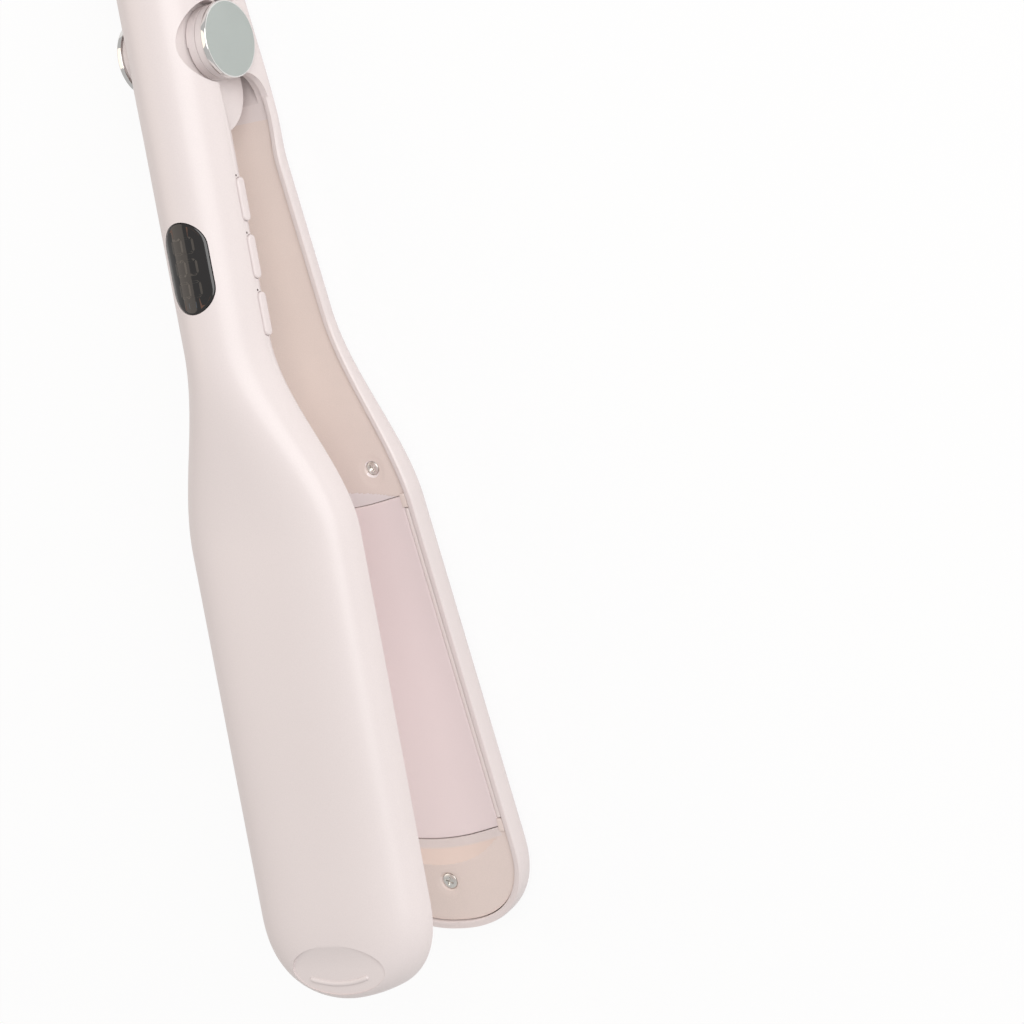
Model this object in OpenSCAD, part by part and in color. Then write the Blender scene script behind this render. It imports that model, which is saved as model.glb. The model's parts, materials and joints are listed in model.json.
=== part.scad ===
// Hair straightener: two hinged arms, each with a heated plate behind a slim moulded shell.
// The lower arm lies flat and the upper arm rests open over it.
// X runs from the hinge to the tips, Y across the arms and Z up. The origin is at the
// middle of the footprint, on the surface that the lower arm lies on.

/* [Arms] */
// Distance from the hinge axis to the tips
arm_len = 250; // [235:1:275]
// Width of each arm at the plates
paddle_w = 52; // [50:0.5:56]
// Width of each arm at the grip
grip_w = 24.4; // [23.6:0.2:26]
// Depth of each arm at the plates, rim to outer face
paddle_depth = 13; // [12.4:0.2:15]
// How far the neck still widens beside the plates
neck_past_plate = 2.5; // [0:0.5:4]
// Length of the neck, where the grip widens to the plates
neck_len = 53; // [44:1:54]
// Length over which each tip rounds off
tip_len = 24; // [20:1:26]
// Height of the wall left at the very end of a tip
tip_wall_h = 6.5; // [5:0.5:8]
// Wall of the moulded shells
wall = 2; // [1.8:0.1:2.4]
// Gap between the rims of the closed arms
rim_gap = 1.5; // [1:0.1:2]
// Angle between the arms at rest
open_angle = 10; // [8:0.5:10.5]

/* [Hinge] */
// Drop of the plane where the arms meet below the hinge axis
mate_drop = 2.25; // [2:0.05:2.6]
// Height of the axis of the tail tube above the hinge axis
tail_rise = 4.5; // [4.2:0.1:4.8]
// Diameter of the hinge ears
ear_d = 19.2; // [18:0.2:19.6]
// Width over the hinge ears
ear_span = 26; // [25.6:0.2:27]
// Width of the tail tube between the ears
knuckle_w = 15.6; // [14:0.2:16]
// Side clearance between an ear and the tail tube
ear_gap = 0.4; // [0.3:0.05:0.6]
// Diameter of the hinge pin
pin_d = 5; // [4:0.5:6]
// Diameter of the caps over the hinge
cap_d = 20; // [19.6:0.2:21]
// Thickness of the caps over the hinge
cap_t = 2; // [1.6:0.1:2.6]

/* [Plates] */
// Distance from the plates to the tips
plate_from_tip = 28; // [26:0.5:34]
// Length of each plate
plate_len = 95.5; // [80:0.5:95.5]
// Width of each plate
plate_w = 44.6; // [40:0.2:44.6]
// Thickness of each plate
plate_t = 1.5; // [1:0.1:1.8]
// Depth of the hollow across the lower plate
plate_sag = 2.6; // [1.5:0.1:2.8]
// Gap between the closed plates
plate_gap = 0.45; // [0.35:0.05:0.8]

/* [Display and buttons] */
// Distance from the hinge axis to the middle of the display
display_x = 55.4; // [50:0.2:58]
// Length of the display window
display_len = 23.5; // [18:0.5:26]
// Width of the display window
display_w = 13.4; // [11:0.2:14]
// Distance from the hinge axis to the middle button
button_x = 55.3; // [54:0.1:57]
// Distance between neighbouring buttons
button_pitch = 14.8; // [13:0.1:15]
// Length of each button
button_len = 11.3; // [8:0.1:11.5]
// Height of each button
button_h = 2.8; // [2.6:0.1:3]
// How far each button stands out of the shell
button_proud = 0.7; // [0.6:0.1:1]
// Travel of each button
button_travel = 0.5; // [0.3:0.05:0.55]

/* [Tail] */
// Length of the tail shell behind the hinge axis
tail_len = 52; // [50:0.5:54]
// Length of the tail before it rounds off
tail_full = 40; // [38:0.5:41]
// Diameter of the end of the tail
tail_end_d = 16; // [15.6:0.2:17]
// Diameter of the cord bore in the swivel
cord_bore_d = 6; // [4:0.2:6.6]

/* [Hidden] */

UPPER = 0;
LOWER = 1;
$fn = 64;
eps = 0.01;
over = 1;
far = 100;

// Heights in an arm are measured outward from the plane where the arms meet.
grip_r = grip_w / 2;
paddle_rim = rim_gap / 2;
paddle_top = paddle_rim + paddle_depth;
hinge_height = paddle_top + mate_drop;
plate_end = arm_len - plate_from_tip;
plate_start = plate_end - plate_len;
neck_end = plate_start + neck_past_plate;
neck_start = neck_end - neck_len;
seam_h = tail_rise + mate_drop;
upper_grip_top = seam_h + grip_r;

// Edge of the shells: a band along the upper grip and a small rounding elsewhere
band_h = 2.2;
band_in = 0.9;
band_x0 = 9.5;
band_x1 = 24;
edge_h = 0.6;
edge_in = 0.5;
seam_edge_h = 0.3;
seam_edge_in = 0.15;
inner_edge_h = 2.6;

// Lower arm: height of its rim along the grip and beside the hinge
lower_grip_rim = 6.25;
lower_hinge_rim = 8.05;
lower_rim_x0 = 22;
lower_rim_x1 = 36;
ear_flare = ear_span / 2 - grip_r;
lower_end = 13;
lower_end_w = 9.5;
lower_end_top = 10.4;
lower_end_r = 5;

// Section of the shells: exponents of the rounded profiles
round_exp = 2;
lower_grip_exp = 2.6;
paddle_exp = 3;
tip_plan_exp = 2.4;
tip_side_exp = 2.5;
arc_n = 23;

// Hinge ears
ear_r = ear_d / 2;
ear_in = knuckle_w / 2 + ear_gap;
ear_out = ear_span / 2;
ear_split = ear_out - wall - 0.15;
ear_split_gap = 0.15;
ear_recess_r = ear_r + 0.5;
ear_fillet = 8;
ear_rear_fillet = 4;
ear_foot = 1.2;
ear_scoop_floor = 0.4;
ear_scoop_slope = 0.9;
lower_rim_drop = lower_hinge_rim + mate_drop;
pin_r = pin_d / 2;
pin_clear = 0.05;
pin_end_gap = 0.1;
bush_wall = 1.5;
bush_flange_t = 0.8;
bush_flange_w = 1.2;
cap_edge = 0.4;
cap_dome_r = 160;

// Nose of the tail shell, between the ears
nose_x = 11.5;
nose_z = 1.5;
nose_r = 14;
tube_end = 8;
nose_clear = 0.9;
knuckle_inset = 0.1;
shelf_t = 1.2;
shelf_end = 26.2;

// Inner covers
cover_gap = 0.2;
cover_t = 1.4;
cover_recess = 1;
cover_end_gap = 0.2;
lip_w = 1.3;
lip_recess = 0.3;
lip_h = 2.45;
lip_start = plate_start - 0.8;
plate_edge_drop = 0.6;
ramp_len = 5.2;
ramp_reach = 12;
ramp_block_len = 6.6;

// Screws
screw_r = 1.2;
screw_head_r = 2.25;
screw_head_h = 1;
screw_sink = 0.2;
screw_len = 6.2;
screw_clear = 0.2;
pilot_clear = 0.05;
pad_r = 3.4;
pad_h = 1.2;
pad_sink = 0.8;
pilot_depth = 5.2;
boss_r = 3;
boss_sink = 0.25;
neck_screw_gap = 8.2;
neck_screw_x = plate_start - neck_screw_gap;
neck_screw_y = 14.8;
tip_screw_from_end = 13.5;
tip_screw_x = arm_len - tip_screw_from_end;

// Scoop and bar on the tips
scoop_r = 250;
scoop_tilt = 13;
scoop_from_end = 8.5;
scoop_depth = 2.05;
bar_from_end = 4.8;
bar_half = 9;
bar_bow = 1.6;
bar_r = 0.75;
bar_proud = 0.45;
bar_steps = 8;

// Plates and what holds them
plate_half_w = plate_w / 2;
plate_edge_h = paddle_rim + plate_edge_drop;
plate_curve_r = (pow(plate_half_w, 2) + pow(plate_sag, 2)) / (2 * plate_sag);
lower_curve_h = plate_edge_h + plate_sag - plate_curve_r;
heater_len = 78;
heater_half_w = 9;
heater_t = 1.8;
heater_gap = 0.05;
carrier_half_w = 16.5;
carrier_t = 1.2;
carrier_gap = 0.1;
carrier_end_gap = 1.5;
carrier_top = paddle_top - wall - 1.6;
cushion_len = 14;
cushion_half_w = 4;
cushion_gap = 0.3;
cushion_pitch = 32;
rib_t = 1.5;
rib_x = 36.8;
carrier_hole_r = 4;
sensor_size = [6, 4, 1.2];
heater_x = plate_start + (plate_len - heater_len) / 2;
plate_mid = plate_start + plate_len / 2;

// Display, board and buttons
lens_t = 1.6;
lens_clear = 0.15;
module_size = [20, 10, 3];
board_t = 1.6;
board_half_w = 7.6;
board_start = 30;
board_end = 100;
board_rise = 4.2;
board_h = seam_h + board_rise;
board_post_r = 1.5;
post_margin = 4;
post_y = 4.5;
button_h0 = seam_h - 0.65;
button_clear = 0.15;
button_crown_r = 5;
flange_t = 0.7;
flange_len = 9;
flange_low = seam_h + 0.3;
flange_high = seam_h + 2.8;
flange_gap = 0.55;
neck_step = 0.1;
switch_size = [4, 1.2, 2.6];
plunger_r = 0.6;
plunger_len = 0.5;
side_board_t = 0.8;
side_board_h = 3.8;
side_board_margin = 7;
press_gap = 0.1;

// Cord swivel in the tail
tail_end_r = tail_end_d / 2;
swivel_r = 5.3;
swivel_clear = 0.2;
swivel_flange_r = swivel_r + 1.2;
swivel_flange_t = 2;
swivel_end_gap = 0.3;
swivel_collar_r = 7;
swivel_collar_len = 4.6;
swivel_tip_r = 5;
swivel_tip_len = 4;
swivel_stub = 1;
retainer_t = 1.5;
retainer_gap = 0.3;
lead_r = 0.7;
lead_y = 3;
lead_sides = 8;
lead_gap = 0.3;
lower_lead_x = 30;
lead_bend = 8;
lead_drop = 5;

// Whole object: it is centred between the tip of the lower arm and the end of the swivel
swivel_end = tail_len + swivel_end_gap + swivel_collar_len + swivel_tip_len;
tail_reach = swivel_end * cos(open_angle) + (tail_rise + swivel_tip_r) * sin(open_angle);
hinge_x = (tail_reach - arm_len) / 2;

pink = "#e7dad6";
tan = "#dccbc0";
plate_pink = "#dcc2c2";
dark = "#26272b";

function clamp01(t) = min(1, max(0, t));
function ease(x, a, b) = let (t = clamp01((x - a) / (b - a))) t * t * (3 - 2 * t);
function mix(a, b, t) = a + (b - a) * t;
function neck(x) = ease(x, neck_start, neck_end);
function root(v, n) = sign(v) * pow(abs(v), 2 / n);

// Half width of an arm, and the heights of its rim and of its outer face
function half_w(arm, x) =
    mix(grip_r, paddle_w / 2, neck(x))
    + (arm == LOWER ? ear_flare * (1 - ease(x, band_x0, lower_rim_x1)) : 0);
function grip_rim(arm, x) = arm == UPPER
    ? seam_h - band_h * ease(x, band_x0, band_x1)
    : mix(lower_hinge_rim, lower_grip_rim, ease(x, lower_rim_x0, lower_rim_x1));
function rim_h(arm, x) = mix(grip_rim(arm, x), paddle_rim, neck(x));
function top_h(arm, x) = arm == UPPER ? mix(upper_grip_top, paddle_top, neck(x)) : paddle_top;
function tip_fall(t) = pow(1 - pow(t, tip_plan_exp), 1 / tip_side_exp);
function tip_top_h(x) = mix(paddle_rim + tip_wall_h, paddle_top,
    tip_fall(clamp01((x - arm_len + tip_len) / tip_len)));
function section_exp(arm, x) = mix(arm == UPPER ? round_exp : lower_grip_exp, paddle_exp, neck(x));

// Edge of the shell at the rim: its height, and how far it draws in
function outer_edge_h(arm, x) = arm == UPPER
    ? mix(mix(seam_edge_h, band_h, ease(x, band_x0, band_x1)), edge_h, neck(x))
    : mix(ear_foot, edge_h, ease(x, lower_rim_x0, lower_rim_x1));
function outer_edge_in(arm, x) = arm == UPPER
    ? mix(mix(seam_edge_in, band_in, ease(x, band_x0, band_x1)), edge_in, neck(x))
    : edge_in;
function inner_edge(arm, x) = arm == UPPER
    ? mix(seam_edge_h, inner_edge_h, ease(x, band_x0, band_x1))
    : inner_edge_h;

// Height of the inner face of a shell over the point (x, y)
function inner_skin_h(arm, x, y) =
    let (base = rim_h(arm, x) + inner_edge(arm, x), w = half_w(arm, x) - wall, n = section_exp(arm, x),
        top = min(top_h(arm, x), tip_top_h(x)) - wall)
    base + (top - base) * pow(1 - pow(min(1, abs(y) / w), n), 1 / n);

// A station is [x, half width, height of the outer face], and a layer is wall or 0
function tail_station(layer, a) =
    let (r = tail_end_r + (grip_r - tail_end_r) * cos(a) - layer)
    [-(tail_full + (tail_len - layer - tail_full) * sin(a)), r, seam_h + r];
function end_station(layer, a) =
    [-lower_end + layer + (lower_end_r - layer) * (1 - cos(a)),
     mix(lower_end_w, ear_out, sin(a)) - layer,
     mix(lower_end_top, paddle_top, sin(a)) - layer];
function body_station(arm, layer, x) = [x, half_w(arm, x) - layer, top_h(arm, x) - layer];
function tip_station(layer, a) =
    let (tip_top = paddle_rim + tip_wall_h)
    [arm_len - tip_len + (tip_len - layer) * root(sin(a), tip_plan_exp),
     (paddle_w / 2 - layer) * root(cos(a), tip_plan_exp),
     mix(tip_top, paddle_top, root(cos(a), tip_side_exp)) - layer];

tail_angles = [90, 72, 54, 36, 18, 0];
end_angles = [0, 22, 45, 67, 90];
tip_angles = [0, 18, 32, 45, 56, 66, 75, 82, 88];
grip_xs = [band_x0, 13, 17, 20.5, band_x1, 29, lower_rim_x1];
neck_steps = 12;
neck_xs = [for (i = [0 : neck_steps]) neck_start + neck_len * i / neck_steps];

function stations(arm, layer) = concat(
    arm == UPPER ? [for (a = tail_angles) tail_station(layer, a)]
                 : [for (a = end_angles) end_station(layer, a)],
    [for (x = concat(grip_xs, neck_xs)) body_station(arm, layer, x)],
    [for (a = tip_angles) tip_station(layer, a)]);

// Points of one section, from the rim at +Y over the outer face to the rim at -Y
function arc_points(s, base, n) = [for (j = [0 : arc_n])
    let (a = 180 * j / arc_n)
    [s[0], s[1] * root(cos(a), n), base + (s[2] - base) * root(sin(a), n)]];
function outer_section(arm, s) =
    let (x = s[0], w = s[1], rim = rim_h(arm, x), h = outer_edge_h(arm, x),
        d = min(outer_edge_in(arm, x), w / 2))
    concat([[x, w - d, rim], [x, w - 0.3 * d, rim + 0.35 * h]],
        arc_points(s, rim + h, section_exp(arm, x)),
        [[x, 0.3 * d - w, rim + 0.35 * h], [x, d - w, rim]]);
function inner_section(arm, s) =
    let (x = s[0], w = s[1], rim = rim_h(arm, x), h = inner_edge(arm, x))
    concat([[x, w, rim]], arc_points(s, rim + h, section_exp(arm, x)), [[x, -w, rim]]);

function flat(rows) = [for (row = rows) for (p = row) p];
function quad(a, b, c, d) = [[a, c, b], [a, d, c]];
function grid_faces(rows, cols, base) = [for (i = [0 : rows - 2]) for (j = [0 : cols - 2])
    let (k = base + i * cols + j)
    for (f = quad(k, k + 1, k + cols + 1, k + cols)) f];
function flip(faces) = [for (f = faces) [f[0], f[2], f[1]]];
function rim_faces(rows, co, ci, jo, ji) = [for (i = [0 : rows - 2])
    let (o = i * co + jo, n = rows * co + i * ci + ji)
    for (f = quad(o, o + co, n + ci, n)) f];
function run(from, count) = [for (k = [0 : count - 1]) from + k];
function backward(v) = [for (k = [len(v) - 1 : -1 : 0]) v[k]];

// A trough between an outer and an inner skin, open along its rim and closed at both ends
module trough(outer, inner) {
    rows = len(outer);
    co = len(outer[0]);
    ci = len(inner[0]);
    start = rows * co;
    last_o = (rows - 1) * co;
    last_i = start + (rows - 1) * ci;
    polyhedron(points = concat(flat(outer), flat(inner)), faces = concat(
        grid_faces(rows, co, 0),
        flip(grid_faces(rows, ci, start)),
        rim_faces(rows, co, ci, 0, 0),
        flip(rim_faces(rows, co, ci, co - 1, ci - 1)),
        [run(0, co), backward(run(last_o, co)), backward(run(start, ci)), run(last_i, ci),
         [0, co - 1, start + ci - 1, start],
         [last_o, last_i, last_i + ci - 1, last_o + co - 1]]));
}

// A closed loft through rows of points
module loft(rows) {
    n = len(rows);
    c = len(rows[0]);
    polyhedron(points = flat(rows), faces = concat(
        [for (i = [0 : n - 2]) for (j = [0 : c - 1])
            let (a = i * c + j, b = i * c + (j + 1) % c)
            for (f = quad(a, b, b + c, a + c)) f],
        [run(0, c), backward(run((n - 1) * c, c))]));
}

module arm_shell(arm) {
    trough([for (s = stations(arm, 0)) outer_section(arm, s)],
        [for (s = stations(arm, wall)) inner_section(arm, s)]);
}

// Frames: heights from the meeting plane into the frame of the hinge, then to the floor
module meeting_frame(arm) {
    translate([0, 0, -mate_drop]) mirror([0, 0, arm == LOWER ? 1 : 0]) children();
}
module lower_place() {
    translate([hinge_x, 0, hinge_height]) children();
}
module upper_place() {
    translate([hinge_x, 0, hinge_height]) rotate([0, -open_angle, 0]) children();
}
module arm_place(arm) {
    if (arm == LOWER) lower_place() meeting_frame(arm) children();
    else upper_place() meeting_frame(arm) children();
}
module both_sides() {
    for (side = [0, 1]) mirror([0, side, 0]) children();
}
// A round bar along Y from y0 to y1, in the frame of the hinge
module cross_bar(x, z, r, y0, y1) {
    translate([x, y1, z]) rotate([90, 0, 0]) cylinder(r = r, h = y1 - y0);
}

// Oval scoop on the outer face of each tip, with a raised bar: a large ball cuts the oval
function scoop_x0() = arm_len - scoop_from_end + scoop_r * sin(scoop_tilt);
function scoop_h0() = paddle_top - scoop_depth + scoop_r * cos(scoop_tilt);
function scoop_h(x, y) = scoop_h0() - sqrt(pow(scoop_r, 2) - pow(x - scoop_x0(), 2) - y * y);
module tip_scoop() {
    translate([scoop_x0(), 0, scoop_h0()]) sphere(r = scoop_r, $fn = 360);
}
module tip_bar() {
    swept_wire([for (k = [-bar_steps : bar_steps])
        let (y = bar_half * k / bar_steps, x = arm_len - bar_from_end - bar_bow * pow(k / bar_steps, 2))
        [x, y, scoop_h(x, y) + bar_proud - bar_r]], bar_r, lead_sides);
}

function cover_h(arm, x) = rim_h(arm, x) + cover_recess;
function boss_places() = [
    [neck_screw_x, neck_screw_y, 0], [neck_screw_x, -neck_screw_y, 0], [tip_screw_x, 0, 1]];
function pad_height(arm, p) = cover_h(arm, p[0]) + cover_t + pad_h;

module screw_bosses(arm) {
    for (p = boss_places()) translate([p[0], p[1], pad_height(arm, p)])
        cylinder(r = boss_r, h = boss_sink - pad_height(arm, p)
            + inner_skin_h(arm, p[0] - boss_r, max(0, abs(p[1]) - boss_r)));
}
module screw_pilots(arm) {
    for (p = boss_places()) translate([p[0], p[1], pad_height(arm, p) - eps])
        cylinder(r = screw_r + pilot_clear, h = pilot_depth);
}
module screw_pads(arm, is_tip) {
    for (p = boss_places()) if ((p[2] == 1) == is_tip)
        translate([p[0], p[1], cover_h(arm, p[0]) + cover_t - pad_sink])
            cylinder(r = pad_r, h = pad_h + pad_sink);
}
module screw_holes(arm, is_tip) {
    for (p = boss_places()) if ((p[2] == 1) == is_tip) translate([p[0], p[1], cover_h(arm, p[0])]) {
        cylinder(r = screw_r + screw_clear, h = cover_t + pad_h + over);
        translate([0, 0, -over]) cylinder(r = screw_head_r + screw_clear,
            h = over + screw_sink + screw_head_h);
    }
}
module cover_screws(arm) {
    for (p = boss_places()) translate([p[0], p[1], cover_h(arm, p[0]) + screw_sink]) {
        cylinder(r = screw_head_r, h = screw_head_h);
        cylinder(r = screw_r, h = screw_head_h + screw_len);
    }
}

module scooped_shell(arm) {
    difference() {
        arm_shell(arm);
        tip_scoop();
    }
    tip_bar();
    screw_bosses(arm);
}

// Outline of an ear in the side view: a disc with a foot that flows into the rim
function fillet_x(r) = sqrt(pow(ear_r + r, 2) - pow(lower_rim_drop - r, 2));
module ear_outline(recess, foot) {
    difference() {
        union() {
            circle(r = ear_r);
            polygon([[-fillet_x(ear_rear_fillet), -lower_rim_drop + ear_rear_fillet],
                [-fillet_x(ear_rear_fillet) + ear_rear_fillet / 2, -foot],
                [fillet_x(ear_fillet), -foot],
                [fillet_x(ear_fillet), -lower_rim_drop + ear_fillet],
                [0, 0]]);
        }
        translate([fillet_x(ear_fillet), ear_fillet - lower_rim_drop])
            circle(r = ear_fillet + recess);
        translate([-fillet_x(ear_rear_fillet), ear_rear_fillet - lower_rim_drop])
            circle(r = ear_rear_fillet + recess);
    }
}
module ears(recess, foot, y0, y1) {
    both_sides() translate([0, y1, 0]) rotate([90, 0, 0])
        linear_extrude(y1 - y0) ear_outline(recess, foot);
}
module pin_bore() {
    cross_bar(0, 0, pin_r + pin_clear, -cap_d, cap_d);
}

module lower_shell() {
    color(pink) lower_place() difference() {
        union() {
            meeting_frame(LOWER) scooped_shell(LOWER);
            ears(0, lower_rim_drop + ear_foot, ear_split + ear_split_gap, ear_out);
        }
        meeting_frame(LOWER) screw_pilots(LOWER);
        pin_bore();
    }
}

// The panel of an inner cover from x0 to x1, with the outline of the shell's inner wall
module cover_panel(arm, x0, x1, t) {
    between = [for (x = concat(grip_xs, neck_xs)) if (x > x0 + over && x < x1 - over / 2) x];
    loft([for (x = concat([x0], between, [x1]))
        let (w = half_w(arm, x) - wall - cover_gap, h = cover_h(arm, x))
        [[x, w, h], [x, w, h + t], [x, -w, h + t], [x, -w, h]]]);
}
module lip_strips() {
    w = paddle_w / 2 - wall - cover_gap;
    both_sides() translate([lip_start, w - lip_w, paddle_rim + lip_recess])
        cube([plate_end - lip_start, lip_w, lip_h]);
}
// A round bar with the curve of a plate's face at x, tilted so that it fades out along dir
module plate_ramp(arm, x, dir) {
    sign = arm == LOWER ? 1 : -1;
    r = plate_face_r(arm);
    face = sign * (lower_curve_h + r);
    translate([x, 0, face]) rotate([0, sign * dir * ramp_angle, 0]) translate([-ramp_reach, 0, -sign * r])
        rotate([0, 90, 0]) cylinder(r = r, h = 2 * ramp_reach, $fn = 360);
}
module ramp_window(arm, x, dir) {
    w = plate_half_w - cover_gap;
    intersection() {
        plate_ramp(arm, x, dir);
        translate([dir > 0 ? x : x - ramp_reach, -w, -paddle_top])
            cube([ramp_reach, 2 * w, 2 * paddle_top]);
    }
}
cover_end = plate_start - cover_end_gap;
ramp_block_x = neck_screw_x + pad_r + 0.2;
ramp_angle = atan((plate_edge_drop + plate_sag - cover_recess) / ramp_len);
ramp_block_t = plate_edge_drop + plate_sag - cover_recess + cover_t;

module lower_inner_cover() {
    foot = lower_rim_drop + cover_recess + cover_t;
    color(tan) lower_place() difference() {
        union() {
            meeting_frame(LOWER) {
                cover_panel(LOWER, fillet_x(ear_fillet) - 1.5, cover_end, cover_t);
                cover_panel(LOWER, ramp_block_x, cover_end, ramp_block_t);
                lip_strips();
                screw_pads(LOWER, false);
            }
            ears(cover_recess, foot, ear_in, ear_split);
        }
        meeting_frame(LOWER) {
            screw_holes(LOWER, false);
            ramp_window(LOWER, cover_end, -1);
        }
        cross_bar(nose_x, nose_z, nose_r + nose_clear, -ear_in - ear_gap, ear_in + ear_gap);
        translate([-far - lower_end + lower_end_r + cover_gap, -far, -far - lower_rim_drop + cover_gap])
            cube([far, 2 * far, far]);
        pin_bore();
    }
}

// The upper plate stands proud, so its covers rise to it in the same curve
module ramp_tongue(arm, x, dir) {
    w = plate_half_w - cover_gap;
    intersection() {
        plate_ramp(arm, x, dir);
        translate([dir > 0 ? x : x - ramp_block_len, -w, -paddle_top])
            cube([ramp_block_len, 2 * w, paddle_top + paddle_rim + cover_recess + cover_t / 2]);
    }
}

// Plan of a tip cover
function tip_cover_points(side) = [for (a = side > 0 ? tip_angles : backward(tip_angles))
    let (s = tip_station(wall + cover_gap, a)) [s[0], side * s[1]]];
module tip_cover(arm) {
    x0 = plate_end + cover_end_gap;
    w = paddle_w / 2 - wall - cover_gap;
    difference() {
        union() {
            translate([0, 0, paddle_rim + cover_recess]) linear_extrude(cover_t)
                polygon(concat([[x0, -w], [x0, w]], tip_cover_points(1), tip_cover_points(-1)));
            screw_pads(arm, true);
            if (arm == LOWER) translate([x0, -plate_half_w, paddle_rim + cover_recess])
                cube([ramp_block_len, 2 * plate_half_w, ramp_block_t]);
            else ramp_tongue(arm, x0, 1);
        }
        screw_holes(arm, true);
        if (arm == LOWER) ramp_window(arm, x0, 1);
    }
}
module lower_tip_cover() {
    color(tan) arm_place(LOWER) tip_cover(LOWER);
}

// A plate is a band of a large tube; the two plates share its axis when the arms are closed
module plate_band(arm, r0, r1, x0, x1, w) {
    centre = arm == LOWER ? lower_curve_h : -lower_curve_h;
    translate([x0, 0, 0]) rotate([90, 0, 90]) linear_extrude(x1 - x0) intersection() {
        translate([0, centre]) difference() {
            circle(r = r1, $fn = 360);
            circle(r = r0, $fn = 360);
        }
        translate([-w, arm == LOWER ? 0 : -paddle_top]) square([2 * w, paddle_top + plate_sag]);
    }
}
function plate_face_r(arm) = arm == LOWER ? plate_curve_r : plate_curve_r - plate_gap;
module plate(arm) {
    r = plate_face_r(arm);
    plate_band(arm, arm == LOWER ? r : r - plate_t, arm == LOWER ? r + plate_t : r,
        plate_start, plate_end, plate_half_w);
}
// Height of the back of a plate at a distance y from the middle
function plate_back(arm, y) = arm == LOWER
    ? lower_curve_h + sqrt(pow(plate_face_r(LOWER) + plate_t, 2) - y * y)
    : -lower_curve_h - sqrt(pow(plate_face_r(UPPER) - plate_t, 2) - y * y);
function heater_h(arm) = heater_gap + max(plate_back(arm, 0), plate_back(arm, heater_half_w));

module plate_carrier(arm) {
    x0 = plate_start + carrier_end_gap;
    len = plate_len - 2 * carrier_end_gap;
    foot = carrier_gap + max(plate_back(arm, carrier_half_w), plate_back(arm, carrier_half_w - rib_t));
    difference() {
        translate([x0, -carrier_half_w, foot]) cube([len, 2 * carrier_half_w, carrier_top - foot]);
        translate([x0 - over, rib_t - carrier_half_w, foot - over])
            cube([len + 2 * over, 2 * (carrier_half_w - rib_t), carrier_top - carrier_t - foot + over]);
        for (i = [-1, 1]) translate([plate_mid + i * cushion_pitch / 2, 0, carrier_top - carrier_t - over])
            cylinder(r = carrier_hole_r, h = carrier_t + 2 * over);
    }
    for (i = [-1, 1]) translate([plate_mid + i * rib_x - rib_t / 2, -heater_half_w,
            heater_h(arm) + heater_t])
        cube([rib_t, 2 * heater_half_w, carrier_top - carrier_t / 2 - heater_h(arm) - heater_t]);
}
module heater(arm) {
    translate([heater_x, -heater_half_w, heater_h(arm)])
        cube([heater_len, 2 * heater_half_w, heater_t]);
}
module plate_cushions() {
    for (i = [-1 : 1]) translate([plate_mid + i * cushion_pitch - cushion_len / 2, -cushion_half_w,
            carrier_top])
        cube([cushion_len, 2 * cushion_half_w, paddle_top - wall - cushion_gap - carrier_top]);
}
module sensor(arm) {
    translate([plate_mid - sensor_size[0] / 2, -sensor_size[1] / 2, heater_h(arm) + heater_t])
        cube(sensor_size);
}

module leads(points) {
    both_sides() swept_wire(points, lead_r, lead_sides);
}

module lower_plate() { color(plate_pink) arm_place(LOWER) plate(LOWER); }
module lower_plate_carrier() { color("dimgray") arm_place(LOWER) plate_carrier(LOWER); }
module lower_heater() { color("gainsboro") arm_place(LOWER) heater(LOWER); }
module lower_plate_cushions() { color("indianred") arm_place(LOWER) plate_cushions(); }
module lower_sensor() { color("orange") arm_place(LOWER) sensor(LOWER); }
module lower_cover_screws() { color("silver") arm_place(LOWER) cover_screws(LOWER); }
module lower_leads() {
    h = paddle_top - wall - cushion_gap - lead_r;
    end_h = heater_h(LOWER) + heater_t / 2;
    color("white") arm_place(LOWER) leads([[lower_lead_x, lead_y, h], [plate_start - lead_bend, lead_y, h],
        [heater_x - lead_gap, lead_y, end_h]]);
}

module hinge_pin() {
    color("silver") lower_place() cross_bar(0, 0, pin_r, pin_end_gap - ear_out, ear_out - pin_end_gap);
}
module hinge_cap() {
    edge = cap_edge;
    dome_r = cap_dome_r;
    translate([0, ear_out, 0]) rotate([-90, 0, 0]) rotate_extrude() intersection() {
        polygon([[0, 0], [cap_d / 2, 0], [cap_d / 2, cap_t - edge], [cap_d / 2 - edge, cap_t], [0, cap_t]]);
        translate([0, cap_t - dome_r]) difference() {
            circle(r = dome_r, $fn = 360);
            translate([-2 * dome_r, -dome_r]) square(2 * dome_r);
        }
    }
}
module hinge_cap_right() { color("#b4bbb8") lower_place() hinge_cap(); }
module hinge_cap_left() { color("#b4bbb8") lower_place() mirror([0, 1, 0]) hinge_cap(); }

// Tail tube, turned about its own axis in the frame of the hinge
module tail_turned(layer, x1) {
    translate([0, 0, tail_rise]) rotate([0, 90, 0]) rotate_extrude() polygon(concat(
        [[0, -(tail_len - layer)]],
        [for (a = tail_angles) let (s = tail_station(layer, a)) [s[1], s[0]]],
        [[grip_r - layer, x1], [0, x1]]));
}
module knuckle_walls(x0, x1) {
    both_sides() intersection() {
        translate([0, 0, tail_rise]) rotate([0, 90, 0]) translate([0, 0, x0])
            cylinder(r = grip_r - knuckle_inset, h = x1 - x0);
        translate([x0, knuckle_w / 2 - wall, -grip_r]) cube([x1 - x0, wall, 3 * grip_r]);
    }
}
module ear_recesses() {
    both_sides() cross_bar(0, 0, ear_recess_r, knuckle_w / 2, ear_span);
}
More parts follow.
